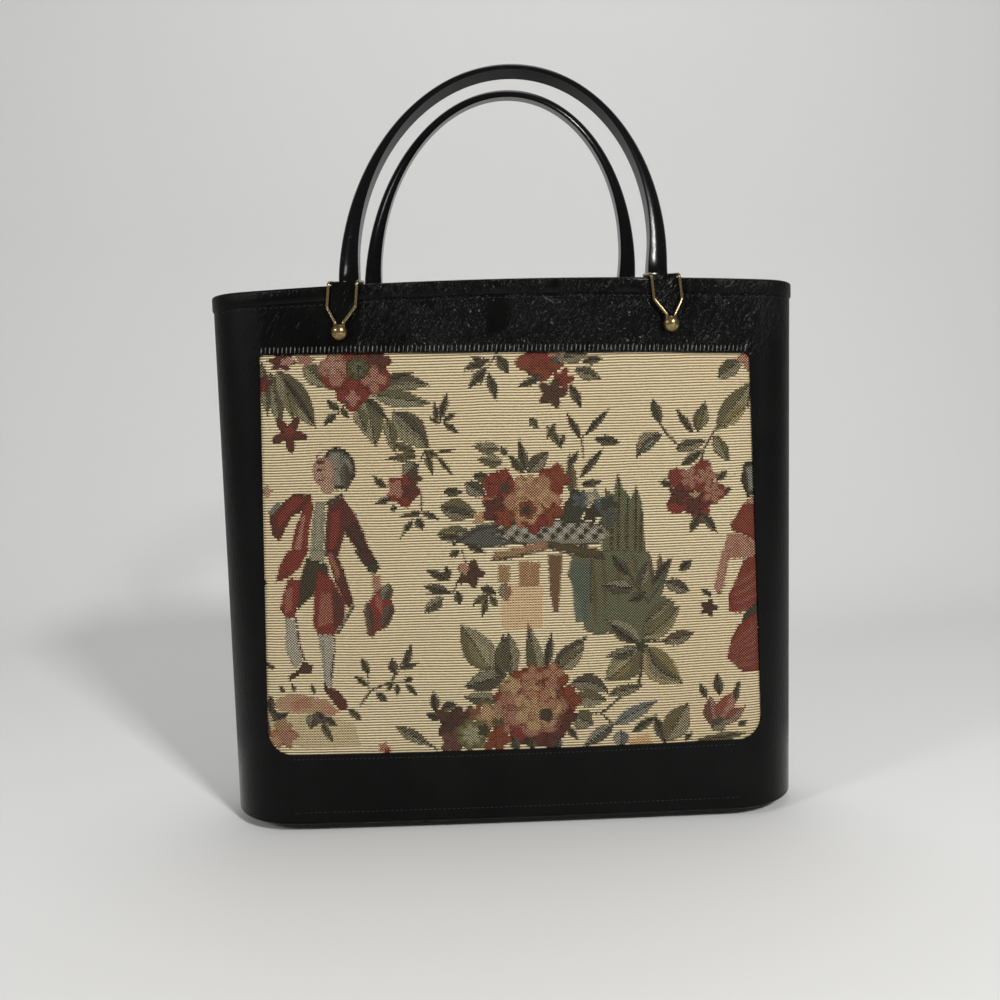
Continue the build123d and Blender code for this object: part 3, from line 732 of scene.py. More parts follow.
def draw_gentleman(d):
    """A dancer in a red coat, drawn in flat fields; the face is a plain oval in profile."""
    d.sheet = "upper_left"
    d.field([(24, 89), (35, 90), (35, 96), (22, 104), (15, 118), (10, 115), (8, 101), (15, 96)], RED_DARK)
    d.field([(22, 91), (32, 92), (22, 102), (14, 112), (12, 104), (17, 98)], RED)
    d.stroke([(9, 101), (14, 96)], 3.2, GREY)
    d.bloom((7, 88), 3.4, 4, FLESH)
    d.field([(34, 90), (36, 98), (33, 112), (32, 127), (21, 127), (24, 112), (29, 99)], RED)
    d.field([(29, 103), (31, 103), (27, 127), (23, 127)], PINK, 0.7)
    d.field([(44, 96), (53, 90), (61, 101), (66, 112), (71, 127), (64, 127), (55, 113), (51, 127), (42, 127)], RED_DARK)
    d.field([(46, 100), (53, 98), (52, 112), (48, 127), (44, 127)], RED)
    d.field([(55, 110), (61, 106), (69, 124), (64, 124), (57, 113)], WINE)
    d.field([(37, 94), (43, 94), (42, 127), (33, 127), (35, 106)], srgb(176, 168, 138))
    d.stroke([(37, 100), (36, 127)], 0.8, GREY)
    d.stroke([(41, 100), (40, 127)], 0.8, GREY)
    d.stroke([(44, 95), (53, 90)], 2.6, GREEN_DARK)
    d.bloom((51, 74), 10.5, 3, DARK, wave=0.03, squash=1.25)
    d.bloom((51, 74), 8.6, 3, srgb(120, 126, 116), wave=0.03, squash=1.25)
    d.leaf((55, 70), (56, 88), 7, GREY, GREEN_DARK, rib=False)
    d.bloom((42, 76), 6.6, 2, FLESH, wave=0.05, squash=1.5)
    d.bloom((44, 85), 4.5, 2, FLESH, wave=0.05)
    d.bloom((40, 70), 2.0, 2, RED_DARK, squash=0.6)
    d.bloom((39.5, 75), 1.4, 2, BROWN, squash=0.6)
    d.bloom((40, 81), 1.3, 2, RED_DARK, squash=0.5)
    d.stroke([(38, 67), (41, 63), (47, 62)], 1.2, DARK)
    d.sheet = "lower_left"
    d.field([(20, 0), (32, 0), (28, 10), (21, 16), (12, 20), (15, 9)], RED)
    d.stroke([(13, 19), (20, 14)], 1.6, RED_DARK)
    d.field([(43, 0), (49, 0), (55, 14), (60, 32), (56, 34), (49, 20)], RED_DARK)
    d.field([(44, 2), (47, 2), (52, 14), (50, 18)], RED_LIGHT, 0.7)
    d.field([(33, 0), (43, 0), (42, 8), (33, 6)], srgb(176, 168, 138))
    d.field([(31, 5), (44, 8), (46, 20), (36, 26), (26, 36), (24, 30), (27, 18)], OLIVE_DARK)
    d.field([(20, 17), (28, 17), (27, 30), (24, 41), (18, 41), (15, 35), (17, 25)], RED)
    d.field([(18, 24), (23, 22), (22, 36), (18, 38)], RED_LIGHT, 0.6)
    d.field([(38, 12), (46, 16), (55, 30), (54, 42), (48, 51), (38, 51), (35, 44), (36, 26)], RED)
    d.field([(40, 26), (46, 26), (47, 44), (38, 46)], RED_LIGHT, 0.55)
    d.field([(47, 22), (53, 28), (54, 40), (48, 48)], WINE, 0.8)
    d.stroke([(50, 50), (58, 36), (60, 33)], 1.6, GREEN_DARK)
    stocking = srgb(206, 200, 180)
    d.field([(18, 41), (25, 41), (26, 56), (29, 67), (24, 72), (18, 60)], stocking)
    d.stroke([(25, 41), (27, 58), (30, 66)], 1.3, DARK)
    d.field([(38, 51), (47, 51), (48, 64), (47, 84), (42, 82), (40, 64)], stocking)
    d.stroke([(48, 50), (48, 62), (46, 76)], 1.2, DARK)
    d.stroke([(41, 54), (42, 80)], 0.7, GREY)
    d.field([(29, 67), (35, 69), (34, 74), (27, 75), (20, 80), (20, 76), (27, 71)], BROWN)
    d.field([(41, 79), (44, 82), (50, 84), (56, 91), (56, 96), (51, 96), (46, 90), (42, 85)], RED_DARK)
    d.field([(60, 0), (71, 0), (75, 8), (70, 13), (64, 6)], WINE)
    d.field([(68, 8), (74, 6), (76, 10), (73, 14), (68, 13)], GREEN_DARK)
    d.field([(71, 14), (76, 15), (77, 24), (72, 26)], PINK)
    d.field([(72, 26), (78, 22), (82, 22), (83, 30), (85, 36), (80, 46), (74, 48), (71, 52), (68, 50), (66, 36)], RED)
    d.leaf((83, 31), (76, 48), 7, RED_DARK, WINE, rib=False)
    d.leaf((82, 20), (77, 30), 8, GREEN_DARK, DARK, rib=False)
    d.leaf((68, 30), (71, 52), 5, RED_DARK, WINE, rib=False)
    d.leaf((74, 26), (77, 38), 4, PINK, RED_LIGHT, rib=False)


# %% Upper right sheet and the bowl
def draw_upper_right(d):
    d.sheet = "upper_right"
    d.bloom((20, 10), 13, 4, RUST, wave=0.15, squash=0.8)
    d.bloom((20, 8), 6, 5, RED)
    d.bloom((28, 5), 4, 5, PINK, squash=0.6)
    d.bloom((33, 20), 5.5, 5, RED, wave=0.3)
    d.bloom((27, 28), 7.5, 5, BROWN, wave=0.25)
    d.leaf((31, 12), (30, 5), 8, GREEN_DARK, OLIVE_DARK)
    d.leaves([(32, 8, 47, 5, 9), (44, 10, 56, 8, 5), (40, 14, 55, 20, 8), (22, 18, 7, 24, 5), (14, 18, 22, 18, 3)])
    d.leaf((37, 23), (44, 37), 6, GREEN_DARK, OLIVE_DARK)
    d.leaves([(14, 42, 19, 49, 5), (24, 47, 33, 61, 5), (29, 45, 24, 55, 4), (34, 52, 31, 60, 4)], OLIVE_LIGHT, OLIVE)
    d.stroke([(45, 66), (44, 54), (60, 38)], 1.1, OLIVE_DARK)
    d.leaves([(44, 55, 35, 39, 5), (46, 53, 60, 37, 5), (51, 55, 67, 57, 7)])
    d.leaves([(43, 78, 57, 60, 5), (44, 82, 56, 80, 5)])
    d.leaves([(12, 74, 8, 55, 6), (13, 75, 25, 62, 10), (11, 75, 2, 64, 6)], OLIVE, OLIVE_DARK)
    d.leaf((39, 90), (37, 64), 7, GREEN_DARK, OLIVE)
    d.leaf((38, 70), (42, 62), 4, OLIVE, OLIVE_DARK)
    d.leaf((90, 46), (85, 31), 7, BLUE, GREEN_DARK)
    d.stroke([(90, 46), (94, 52), (101, 59)], 1.3, DARK)
    d.leaf((91, 52), (76, 66), 10, OLIVE, OLIVE_DARK, -3)
    d.leaf((88, 55), (79, 64), 4, BLUE, GREY)
    d.leaves([(110, 52, 99, 37, 5), (112, 51, 117, 33, 10), (99, 61, 118, 56, 8), (115, 62, 102, 71, 6), (122, 53, 132, 69, 9)])
    d.leaf((113, 50), (117, 36), 5, YELLOW, OLIVE_LIGHT)
    d.leaf((124, 52), (131, 67), 4, YELLOW, OLIVE_LIGHT)
    d.stroke([(113, 76), (116, 62), (122, 51), (132, 42), (146, 20)], 1.4, OLIVE_DARK)
    d.leaf((124, 50), (146, 21), 15, OLIVE_LIGHT, OLIVE)
    d.leaf((128, 48), (142, 36), 8, YELLOW, OLIVE_LIGHT)
    d.leaf((124, 19), (140, 8), 11, OLIVE, OLIVE_DARK)
    d.stroke([(146, 20), (143, 36)], 1.6, DARK)
    d.bloom((143, 8), 6, 4, PINK)
    d.bloom((145, 6), 3, 4, RED)
    d.leaves([(98, 82, 89, 80, 5), (125, 89, 134, 84, 5), (124, 80, 131, 74, 5)])
    d.bloom((111, 86), 17, 5, RED, wave=0.22, turn=0.3)
    d.bloom((108, 78), 6, 5, RED_LIGHT)
    d.bloom((118, 77), 6, 5, RED_LIGHT)
    d.bloom((101, 88), 6, 5, RED_DARK)
    d.bloom((122, 87), 6, 5, RED_LIGHT)
    d.bloom((111, 95), 6, 5, RED_DARK)
    d.bloom((111, 88), 4.4, 4, DARK, squash=0.7)
    d.bloom((111, 88), 2.8, 4, PEACH, squash=0.6)
    d.leaves([(114, 99, 108, 111, 6), (115, 99, 125, 111, 6)])
    d.field([(140, 70), (148, 67), (149, 88), (143, 90), (139, 80)], DARK)
    d.field([(142, 72), (148, 70), (148, 86), (144, 86)], GREY)
    d.field([(143, 91), (149, 88), (150, 124), (144, 124), (140, 100)], PINK)
    d.field([(133, 106), (141, 93), (150, 94), (150, 117), (142, 112), (134, 110)], RED)
    d.field([(136, 106), (142, 98), (147, 100), (145, 110)], RUST, 0.7)
    d.field([(131, 112), (140, 111), (146, 118), (148, 126), (128, 126)], PINK)
    d.field([(134, 114), (138, 114), (140, 126), (133, 126)], RED_LIGHT, 0.7)


def draw_tree(d):
    """A soft grey-green tree behind the bowl, in upright tufts."""
    d.sheet = "upper_right"
    d.field([(56, 126), (56, 100), (58, 84), (63, 88), (65, 75), (69, 85), (73, 90), (76, 82), (80, 94), (81, 108), (82, 126)], SAGE)
    for x, top in ((62, 86), (66, 78), (71, 90), (76, 84), (79, 96)):
        d.leaf((x, 126), (x, top), 4, OLIVE_LIGHT, OLIVE)
    d.sheet = "lower_right"
    d.field([(40, 0), (84, 0), (88, 14), (96, 10), (92, 26), (100, 30), (94, 42), (86, 52), (78, 56), (68, 50), (60, 48),
             (54, 50), (46, 46), (44, 30), (36, 14)], SAGE)
    for x, low in ((50, 44), (56, 38), (64, 30), (84, 30), (74, 14), (90, 20)):
        d.leaf((x, 2), (x + 2, low), 5, OLIVE_LIGHT, OLIVE, rib=False)


def draw_bowl(d):
    """Roses and small blossoms over a dark chequered bowl, on a plinth of ochre bands."""
    d.sheet = "upper_left"
    d.leaf((127, 82), (140, 91), 10, GREEN_DARK, DARK)
    d.leaf((114, 88), (126, 88), 6)
    d.leaf((132, 78), (142, 80), 7, GREEN_DARK, OLIVE_DARK)
    d.leaves([(148, 62, 131, 60, 8), (150, 70, 134, 68, 8), (152, 66, 148, 60, 5)], OLIVE_LIGHT, OLIVE)
    d.leaf((112, 97), (134, 101), 14, OLIVE_LIGHT, OLIVE)
    d.leaf((113, 99), (133, 103), 8, OLIVE_DARK, DARK)
    d.leaf((110, 114), (132, 112), 9, SAGE, OLIVE)
    d.leaf((112, 116), (128, 116), 5, DARK, OLIVE_DARK)
    d.bloom((148, 88), 11, 5, RUST, wave=0.2)
    d.bloom((145, 82), 6, 5, RED)
    d.bloom((151, 83), 4, 5, OLIVE_DARK)
    d.bloom((146, 98), 9, 5, ORANGE, wave=0.2)
    d.bloom((152, 100), 6, 5, RUST)
    d.bloom((136, 104), 4, 5, PEACH)
    d.bloom((149, 92), 3, 5, PEACH)
    d.field([(120, 118), (134, 108), (148, 106), (158, 104), (158, 120), (140, 122), (126, 120)], srgb(92, 94, 90))
    d.stroke([(120, 120), (134, 111), (157, 107)], 1.8, DARK)
    d.leaf((128, 120), (140, 126), 5, DARK, OLIVE_DARK)
    d.sheet = "upper_right"
    d.field([(-7, 112), (4, 106), (16, 104), (30, 103), (48, 104), (58, 107), (62, 112), (54, 117), (36, 119), (14, 118), (2, 116)],
            srgb(44, 46, 58), dots=0.8)
    for place in range(-2, 58, 4):
        for row, high in enumerate((106, 109.5, 113)):
            pale = (place // 4 + row) % 2
            d.bloom((place + row, high + (1.5 if place < 10 else 0)), 1.7, 3, srgb(206, 204, 196) if pale else DARK, wave=0.1)
    d.stroke([(-7, 112), (4, 106), (16, 104), (30, 103), (48, 104), (60, 108)], 1.4, DARK)
    d.stroke([(-4, 114), (14, 118.5), (36, 119), (54, 117)], 1.2, DARK)
    d.field([(30, 100), (40, 84), (44, 86), (44, 104), (34, 106)], GREEN_DARK)
    for centre, radius, tone in (((44, 92), 6, BLUE), ((51, 90), 5, GREY), ((56, 96), 6.5, BLUE), ((60, 94), 5, GREEN_DARK),
                                 ((50, 99), 5, DARK), ((60, 101), 6, srgb(82, 86, 80)), ((42, 98), 4, GREEN_DARK)):
        d.bloom(centre, radius, 5, tone)
    d.bloom((50, 90), 2.2, 5, CREAM)
    d.bloom((28, 79), 9, 5, RED, wave=0.15)
    d.bloom((31, 77), 5, 5, RUST)
    d.bloom((-2, 82), 9, 5, RED, wave=0.15)
    d.bloom((0, 84), 4, 5, BROWN)
    d.bloom((-5, 97), 8, 5, RED_DARK, wave=0.15)
    d.bloom((0, 102), 6, 5, RUST)
    d.bloom((16, 92), 16, 6, ORANGE, wave=0.12)
    d.bloom((25, 98), 8, 4, RUST)
    d.bloom((17, 104), 7, 4, RED, wave=0.2)
    d.bloom((13, 84), 7.5, 5, PEACH, wave=0.2)
    d.bloom((15, 85), 4.5, 5, ORANGE)
    d.bloom((24, 90), 5, 4, PEACH)
    d.bloom((25, 91), 3.2, 4, ORANGE)
    d.bloom((13.5, 97), 8.2, 5, PEACH, wave=0.12)
    d.bloom((13, 97), 5.6, 5, RUST, wave=0.12)
    d.bloom((12.5, 97.5), 2.8, 5, DARK)
    d.field([(-8, 127), (-6, 123), (8, 120), (22, 116), (27, 118), (10, 124), (0, 127)], OCHRE)
    d.field([(6, 121), (22, 116), (27, 118), (12, 122)], ORANGE, 0.6)
    d.field([(24, 116), (36, 117), (56, 121), (58, 126), (46, 125), (27, 120)], srgb(84, 72, 42))
    d.stroke([(-8, 127.5), (4, 126), (26, 120)], 1.3, BROWN)
    d.stroke([(27, 120.5), (46, 125.5), (58, 126)], 1.2, DARK)
    d.sheet = "lower_right"
    d.field([(-2, 20), (22, 20), (22, 46), (-2, 46)], PEACH, 0.4)
    d.field([(-4, 9), (3, 9), (3, 19), (-4, 19)], OCHRE, 0.9)
    d.field([(8, 7), (20, 7), (20, 21), (8, 21)], srgb(190, 118, 50), 0.95)
    d.stroke([(14, 9), (14, 18)], 1.0, PEACH)
    d.field([(25, 3), (33, 3), (32, 24), (31, 36), (28, 36), (26, 24)], srgb(112, 66, 36), 0.9)
    d.field([(38, 7), (50, 6), (50, 24), (48, 42), (41, 42), (39, 24)], srgb(92, 110, 96), 0.9)
    d.stroke([(50, 6), (50, 30)], 1.1, DARK)


# %% [markdown]
# ### Drawing the lower half
#
# A large rose with its leaves fills the middle, with brown and yellow blossoms beside it, rocks
# and small flowers in the left corner, and a dancer's red skirt cut by the right edge.


# %% Lower sheets
def draw_lower_left(d):
    d.sheet = "lower_left"
    d.bloom((3, 20), 3.5, 4, RED_DARK)
    d.stroke([(4, 38), (4, 44)], 2.0, RED_DARK)
    d.stroke([(4, 68), (10, 71)], 3.0, BROWN)
    d.field([(12, 90), (22, 86), (34, 88), (44, 90), (52, 98), (44, 100), (30, 98), (20, 98), (12, 96)], srgb(206, 150, 108), 0.85)
    d.field([(20, 92), (32, 88), (36, 94), (24, 97)], RED_LIGHT, 0.6)
    d.field([(40, 92), (50, 96), (48, 100), (40, 98)], PINK, 0.8)
    d.field([(4, 100), (40, 98), (60, 104), (64, 118), (30, 120), (4, 112)], srgb(206, 180, 128), 0.5)
    d.leaves([(36, 87, 34, 80, 3), (24, 86, 22, 80, 3), (18, 86, 14, 82, 3)], OLIVE_LIGHT, OLIVE)
    d.leaf((9, 100), (9, 87), 6, OLIVE, OLIVE_DARK)
    d.leaf((6, 116), (6, 102), 6, OLIVE_DARK, DARK)
    d.leaf((20, 98), (9, 104), 5, OLIVE_DARK, DARK)
    d.leaf((8, 96), (16, 104), 5, OLIVE, OLIVE_DARK)
    d.bloom((17, 112), 8, 6, ORANGE, wave=0.2)
    d.bloom((17, 106), 4, 5, OCHRE)
    d.bloom((18, 114), 4, 5, RED_LIGHT)
    d.bloom((12, 116), 3, 5, PEACH)
    d.leaf((36, 98), (33, 108), 8, GREEN_DARK, DARK)
    d.leaf((37, 97), (43, 106), 6, GREEN_DARK, OLIVE_DARK)
    d.leaf((40, 100), (50, 106), 5, OLIVE, OLIVE_DARK)
    d.leaf((40, 104), (47, 116), 5, OLIVE_LIGHT, OLIVE)
    d.leaf((56, 95), (65, 103), 5, OLIVE_LIGHT, OLIVE)
    d.stroke([(64, 93), (70, 84), (82, 79), (90, 66), (94, 57)], 1.5, OLIVE_DARK)
    d.stroke([(80, 80), (92, 78)], 1.2, OLIVE_DARK)
    d.stroke([(69, 84), (68, 72)], 1.0, OLIVE)
    d.leaves([(90, 70, 95, 56, 5), (88, 71, 99, 67, 5), (84, 74, 83, 64, 6), (69, 74, 64, 64, 5), (68, 81, 60, 75, 4),
              (86, 80, 86, 87, 4), (90, 79, 96, 76, 4), (91, 80, 98, 87, 4), (73, 85, 80, 91, 5), (84, 80, 79, 84, 3)], OLIVE, OLIVE_DARK)
    d.bloom((78, 119), 3.2, 5, ORANGE)
    d.bloom((80, 121), 2.0, 5, RED)
    d.stroke([(110, 120), (100, 113)], 1.3, OLIVE_DARK)
    d.leaf((85, 106), (107, 118), 8, GREEN_DARK, OLIVE)
    d.leaf((109, 97), (108, 84), 6, OLIVE_DARK, DARK)
    d.leaf((112, 95), (122, 92), 6, GREEN_DARK, OLIVE_DARK)
    d.leaf((112, 101), (103, 98), 6, OLIVE_DARK, DARK)
    d.stroke([(125, 0), (128, 9)], 1.2, OLIVE_DARK)
    d.leaf((124, 0), (117, 4), 5)
    d.stroke([(104, 26), (120, 25), (123, 17)], 1.3, OLIVE_DARK)
    d.leaves([(118, 18, 103, 11, 6), (118, 17, 115, 9, 5), (118, 25, 102, 21, 7), (114, 28, 102, 37, 8), (122, 24, 124, 33, 6)])
    d.bloom((130, 14), 7.5, 5, BROWN, wave=0.25)
    d.bloom((126, 11), 3.4, 5, PINK, wave=0.2)
    d.bloom((133, 12), 3.4, 5, WINE)
    d.leaf((136, 22), (146, 26), 6, OLIVE_DARK, DARK)
    d.leaf((150, 19), (152, 31), 8, GREEN_DARK, DARK)
    d.leaves([(140, 26, 131, 33, 5), (140, 27, 137, 40, 5), (142, 27, 146, 34, 5)], OLIVE_LIGHT, OLIVE)
    d.stroke([(125, 48), (132, 62), (146, 74)], 1.2, OLIVE_DARK)
    d.leaf((144, 73), (124, 44), 19, OLIVE_LIGHT, OLIVE)
    d.leaf((141, 70), (129, 50), 12, srgb(176, 164, 120), OLIVE_LIGHT)
    d.leaf((150, 76), (150, 50), 11, OLIVE_LIGHT, OLIVE_DARK)
    d.leaf((152, 74), (126, 82), 13, GREEN_DARK, DARK)
    d.leaf((147, 90), (126, 88), 10, OLIVE_LIGHT, OLIVE_DARK)
    d.leaf((150, 76), (144, 66), 6, GREEN_DARK, OLIVE_DARK)
    d.bloom((120, 104), 10, 5, WINE, wave=0.2)
    d.bloom((113, 98), 4, 5, BROWN)
    d.bloom((120, 115), 8, 5, srgb(110, 62, 58), wave=0.2)
    d.bloom((128, 100), 6, 5, BROWN, wave=0.3)
    d.bloom((134, 98), 5, 5, srgb(150, 86, 62))
    d.bloom((143, 100), 9, 6, OCHRE, wave=0.2)
    d.bloom((140, 98), 4, 5, PEACH)
    d.bloom((149, 106), 6, 5, OLIVE)
    d.bloom((146, 114), 8, 5, RUST, wave=0.3)
    d.bloom((131, 111), 10, 7, OLIVE_LIGHT, wave=0.08)
    d.bloom((131, 111), 6.5, 7, srgb(178, 170, 128), wave=0.08)
    d.bloom((138, 108), 4, 5, OLIVE_DARK)
    d.bloom((152, 88), 8, 6, RED, wave=0.15)
    d.bloom((151, 94), 5, 5, RED_LIGHT)
    d.bloom((154, 78), 4, 4, YELLOW)


def draw_lower_right(d):
    d.sheet = "lower_right"
    d.leaves([(72, 14, 62, 3, 7), (78, 22, 84, 6, 8), (75, 22, 56, 20, 10), (82, 24, 72, 30, 7), (86, 20, 98, 4, 7), (93, 18, 109, 24, 9),
              (102, 12, 110, 5, 6)], OLIVE_DARK, DARK)
    d.stroke([(84, 30), (76, 20), (70, 8)], 1.4, OLIVE_DARK)
    d.stroke([(84, 30), (92, 18)], 1.2, OLIVE_DARK)
    d.leaf((80, 54), (58, 40), 12, SAGE, OLIVE)
    d.leaf((78, 55), (60, 42), 6, OLIVE_DARK, DARK)
    d.leaf((80, 52), (103, 32), 16, OLIVE_LIGHT, OLIVE)
    d.leaf((84, 50), (100, 36), 7, YELLOW, OLIVE_LIGHT)
    d.leaf((82, 42), (98, 28), 8, OLIVE_DARK, OLIVE)
    d.stroke([(84, 53), (94, 53)], 1.4, OLIVE_DARK)
    d.leaf((93, 54), (112, 48), 9, OLIVE_DARK, BROWN)
    d.leaf((79, 56), (58, 76), 20, OLIVE_LIGHT, OLIVE, 2)
    d.leaf((74, 64), (62, 75), 9, YELLOW, OLIVE_LIGHT)
    d.leaf((77, 57), (59, 62), 8, OLIVE_DARK, GREEN_DARK, 1)
    d.leaf((80, 56), (105, 79), 19, YELLOW, OLIVE_LIGHT, -2)
    d.leaf((84, 57), (105, 76), 9, OLIVE_DARK, OLIVE, -5)
    d.stroke([(80, 56), (80, 70), (78, 80), (70, 84), (58, 95), (48, 96)], 2.0, OLIVE_DARK)
    d.bloom((80, 56), 3.5, 5, GREEN_DARK)
    d.leaf((60, 85), (82, 79), 8, OLIVE_DARK, OLIVE)
    d.leaf((38, 78), (61, 84), 12, DARK, OLIVE_DARK, 3)
    d.leaf((40, 86), (60, 88), 12, OLIVE_LIGHT, OLIVE)
    d.leaf((40, 97), (52, 103), 14, GREEN_DARK, OLIVE)
    d.leaf((36, 104), (43, 112), 5, OLIVE_DARK, DARK)
    d.leaf((24, 92), (13, 42), 13, OLIVE_LIGHT, OLIVE_DARK)
    d.leaf((24, 70), (27, 48), 6, OLIVE_DARK, DARK)
    d.leaf((27, 70), (48, 50), 10, OLIVE_DARK, DARK)
    d.leaf((32, 70), (46, 57), 10, OLIVE_LIGHT, OLIVE)
    d.leaf((4, 74), (2, 48), 12, OLIVE, OLIVE_DARK)
    for centre, radius, tone in (((14, 78), 11, RUST), ((27, 76), 10, RUST), ((5, 84), 9, OCHRE), ((6, 92), 9, RED_LIGHT), ((36, 88), 9, RUST),
                                 ((33, 98), 9, RED_DARK), ((6, 102), 8, RED_LIGHT), ((14, 108), 9, WINE), ((25, 108), 10, RED_DARK),
                                 ((8, 107), 6, RED)):
        d.bloom(centre, radius, 5, tone, wave=0.12)
    d.bloom((18, 92), 19, 7, RED_LIGHT, wave=0.06)
    d.bloom((16, 74), 6, 4, ORANGE)
    d.bloom((28, 72), 6, 4, ORANGE)
    d.bloom((5, 80), 4, 4, PEACH)
    d.stroke([(16, 82), (22, 76), (24, 84)], 1.8, RED_DARK)
    d.stroke([(8, 84), (9, 96), (12, 104)], 1.6, RED_DARK)
    d.stroke([(30, 82), (34, 94), (30, 104)], 1.6, RED_DARK)
    d.bloom((19, 93), 14.5, 7, PEACH, wave=0.08)
    d.bloom((20, 91), 10.5, 6, ORANGE, wave=0.12)
    d.bloom((16, 92), 6, 5, PEACH)
    d.bloom((23, 97), 6.5, 5, PEACH, wave=0.06)
    d.bloom((24, 97), 4.6, 5, OLIVE_DARK, wave=0.08)
    d.bloom((24, 97), 2.0, 5, BROWN)
    d.leaves([(8, 118, 4, 110, 7), (16, 118, 16, 111, 5), (30, 118, 32, 110, 6)])
    d.leaf((63, 103), (90, 88), 9, BLUE, srgb(120, 130, 130))
    d.leaf((64, 102), (46, 116), 9, BLUE, GREEN_DARK)
    d.leaf((74, 108), (90, 97), 6, OLIVE_DARK, GREEN_DARK)
    d.leaf((88, 98), (95, 115), 7, BLUE, DARK)
    d.leaf((68, 106), (68, 117), 10, srgb(120, 130, 128), BLUE)
    d.stroke([(64, 103), (56, 96)], 1.4, DARK)
    d.field([(72, 112), (84, 108), (88, 114), (74, 117)], PEACH, 0.6)
    d.leaf((95, 113), (108, 90), 17, srgb(128, 114, 62), OLIVE)
    d.leaf((106, 113), (111, 107), 4)
    d.leaf((110, 114), (145, 108), 6, OLIVE_DARK, OLIVE)
    d.leaves([(119, 88, 115, 78, 5), (127, 86, 125, 72, 7), (135, 92, 139, 76, 5), (138, 104, 144, 101, 5)])
    d.leaf((123, 104), (121, 86), 11, RED, RED_DARK, rib=False)
    d.leaf((126, 102), (135, 84), 13, RED_LIGHT, RED, rib=False)
    d.leaf((129, 103), (143, 92), 8, RED_DARK, RED, rib=False)
    d.leaf((122, 106), (132, 100), 10, OLIVE_DARK, DARK, rib=False)
    d.bloom((120, 34), 5, 5, WINE, wave=0.25)
    d.leaf((122, 27), (115, 22), 4)


def draw_lady(d):
    """Her skirt falls in slanting folds of red and pink, cut by the panel's edge."""
    d.sheet = "lower_right"
    d.field([(128, 0), (133, 0), (129, 20), (126, 27), (123, 22)], PINK)
    d.stroke([(130, 20), (126, 27)], 1.0, OLIVE_DARK)
    d.field([(141, 6), (151, 2), (152, 32), (144, 36), (132, 36), (132, 26), (137, 16)], RED)
    for low in (0, 7, 14, 21):
        d.leaf((134, 22 + low * 0.7), (152, 10 + low), 5, (PINK, RED_DARK, RED_LIGHT, RED_DARK)[low // 7], RED, rib=False)
    d.field([(150, 30), (152, 30), (152, 44), (138, 48), (141, 38)], GREEN_DARK)
    d.field([(138, 44), (150, 36), (152, 72), (141, 72), (131, 64), (133, 54)], RED)
    for low, tone in ((0, PINK), (6, RED_DARK), (11, RED_LIGHT), (16, RED_DARK), (21, PINK), (26, WINE)):
        d.leaf((132 + low * 0.1, 58 + low * 0.35), (152, 40 + low), 5, tone, RED, rib=False)


# %% [markdown]
# ## The woven panel: its cloth
#
# The cloth is a grid of points on the wall's own surface, behind the window, a little finer than
# the ribs of the weave. The drawing is painted on its points. The ribs and the chequered floats
# are too fine for points, so the finish makes them from the height on the bag: a row of soft
# ridges 1.45 mm apart, with painted shade in the grooves between them where the ground is plain.

# %% The cloth of the panels
FIGURES = (
    "olive_leaves", "blue_leaves", "red_blossoms", "orange_roses", "linen", "plinth", "bowl", "gentleman", "lady"
)
PANEL_INSET = 1.25
PANEL_HALF_WIDTH = 141.0
PANEL_LOW, PANEL_HIGH = 38.6, 266.0
RIB_PITCH = 1.45
STITCH_PITCH = 1.5


def tapestry_finish():
    """Ribs from the sine of the height. Stitches from the product of two sines, on figures only:
    where it is positive, a cream stitch shows, as far as the drawing asks for it. Where it is
    negative, and in the grooves between the ribs, the colour is darkened as painted shade."""
    f = Finish("tapestry", roughness=0.8, Specular_IOR_Level=0.1)
    place = f.place()
    x, z = f.axis(place, "X"), f.axis(place, "Z")
    sway = f.noise(place, 22.0, 2.0) * 0.0016 + f.noise(place, 300.0, 2.0) * 0.0003
    wave = ((z + sway) * (2 * math.pi / (RIB_PITCH * MM))).sine()
    rib = wave * 0.5 + 0.5
    thread = (x * (2 * math.pi / (STITCH_PITCH * MM)) + f.noise(place, 500.0) * 2.0).sine()
    stitch = (thread * wave).step(-0.15, 0.35)
    row = ((z + sway) * (4 * math.pi / (RIB_PITCH * MM))).sine() * 0.5 + 0.5
    figure = f.node("Attribute", {"attribute_name": "figure"}, out="Fac")
    dots = f.node("Attribute", {"attribute_name": "dots"}, out="Fac")
    drawn = f.node("Attribute", {"attribute_name": "drawing"}, out="Color")
    wear = f.noise(place, 900.0, 3.0)
    plain = 1.0 - figure
    # Painted shade: the plain ground is darkened in the grooves between its ribs, by an amount the wear noise varies a
    # little, and the figures are darkened between their stitches and between their rows.
    groove_shade = (1.0 - rib.step(0.12, 0.72)) * (0.8 + 0.2 * wear)
    cream = f.mix(figure * dots * stitch, drawn, (0.60, 0.52, 0.35))
    dark = groove_shade * plain * 0.92 + figure * (1.0 - stitch) * 0.8 + figure * (1.0 - row) * 0.25
    # The colour is mixed toward a deep brown by the painted shade, plus a random tone from the wear noise.
    dyed_and_shaded = f.mix((dark + (wear - 0.5) * 0.3).clamped(), cream, (0.02, 0.014, 0.009))
    stain = f.noise(place, 9.0).step(0.35, 0.8) * plain * 0.25
    f.colour(f.mix(stain, dyed_and_shaded, (0.42, 0.27, 0.12)))
    f.bump(rib * plain * 0.8 + (stitch * 0.6 + row * 0.3) * figure, 0.0006)
    return f


def draw_all(x, z):
    """The whole drawing, from what lies behind to what lies in front."""
    d = Drawing(x, z)
    draw_tree(d)
    draw_upper_left(d)
    draw_upper_right(d)
    draw_lower_left(d)
    draw_lower_right(d)
    draw_bowl(d)
    draw_gentleman(d)
    draw_lady(d)
    print("share of the panel that is figured:", round(float(d.figure.mean()), 3))
    return np.concatenate([d.colour, np.ones((x.size, 1)), d.figure[:, None], d.dots[:, None]], 1)


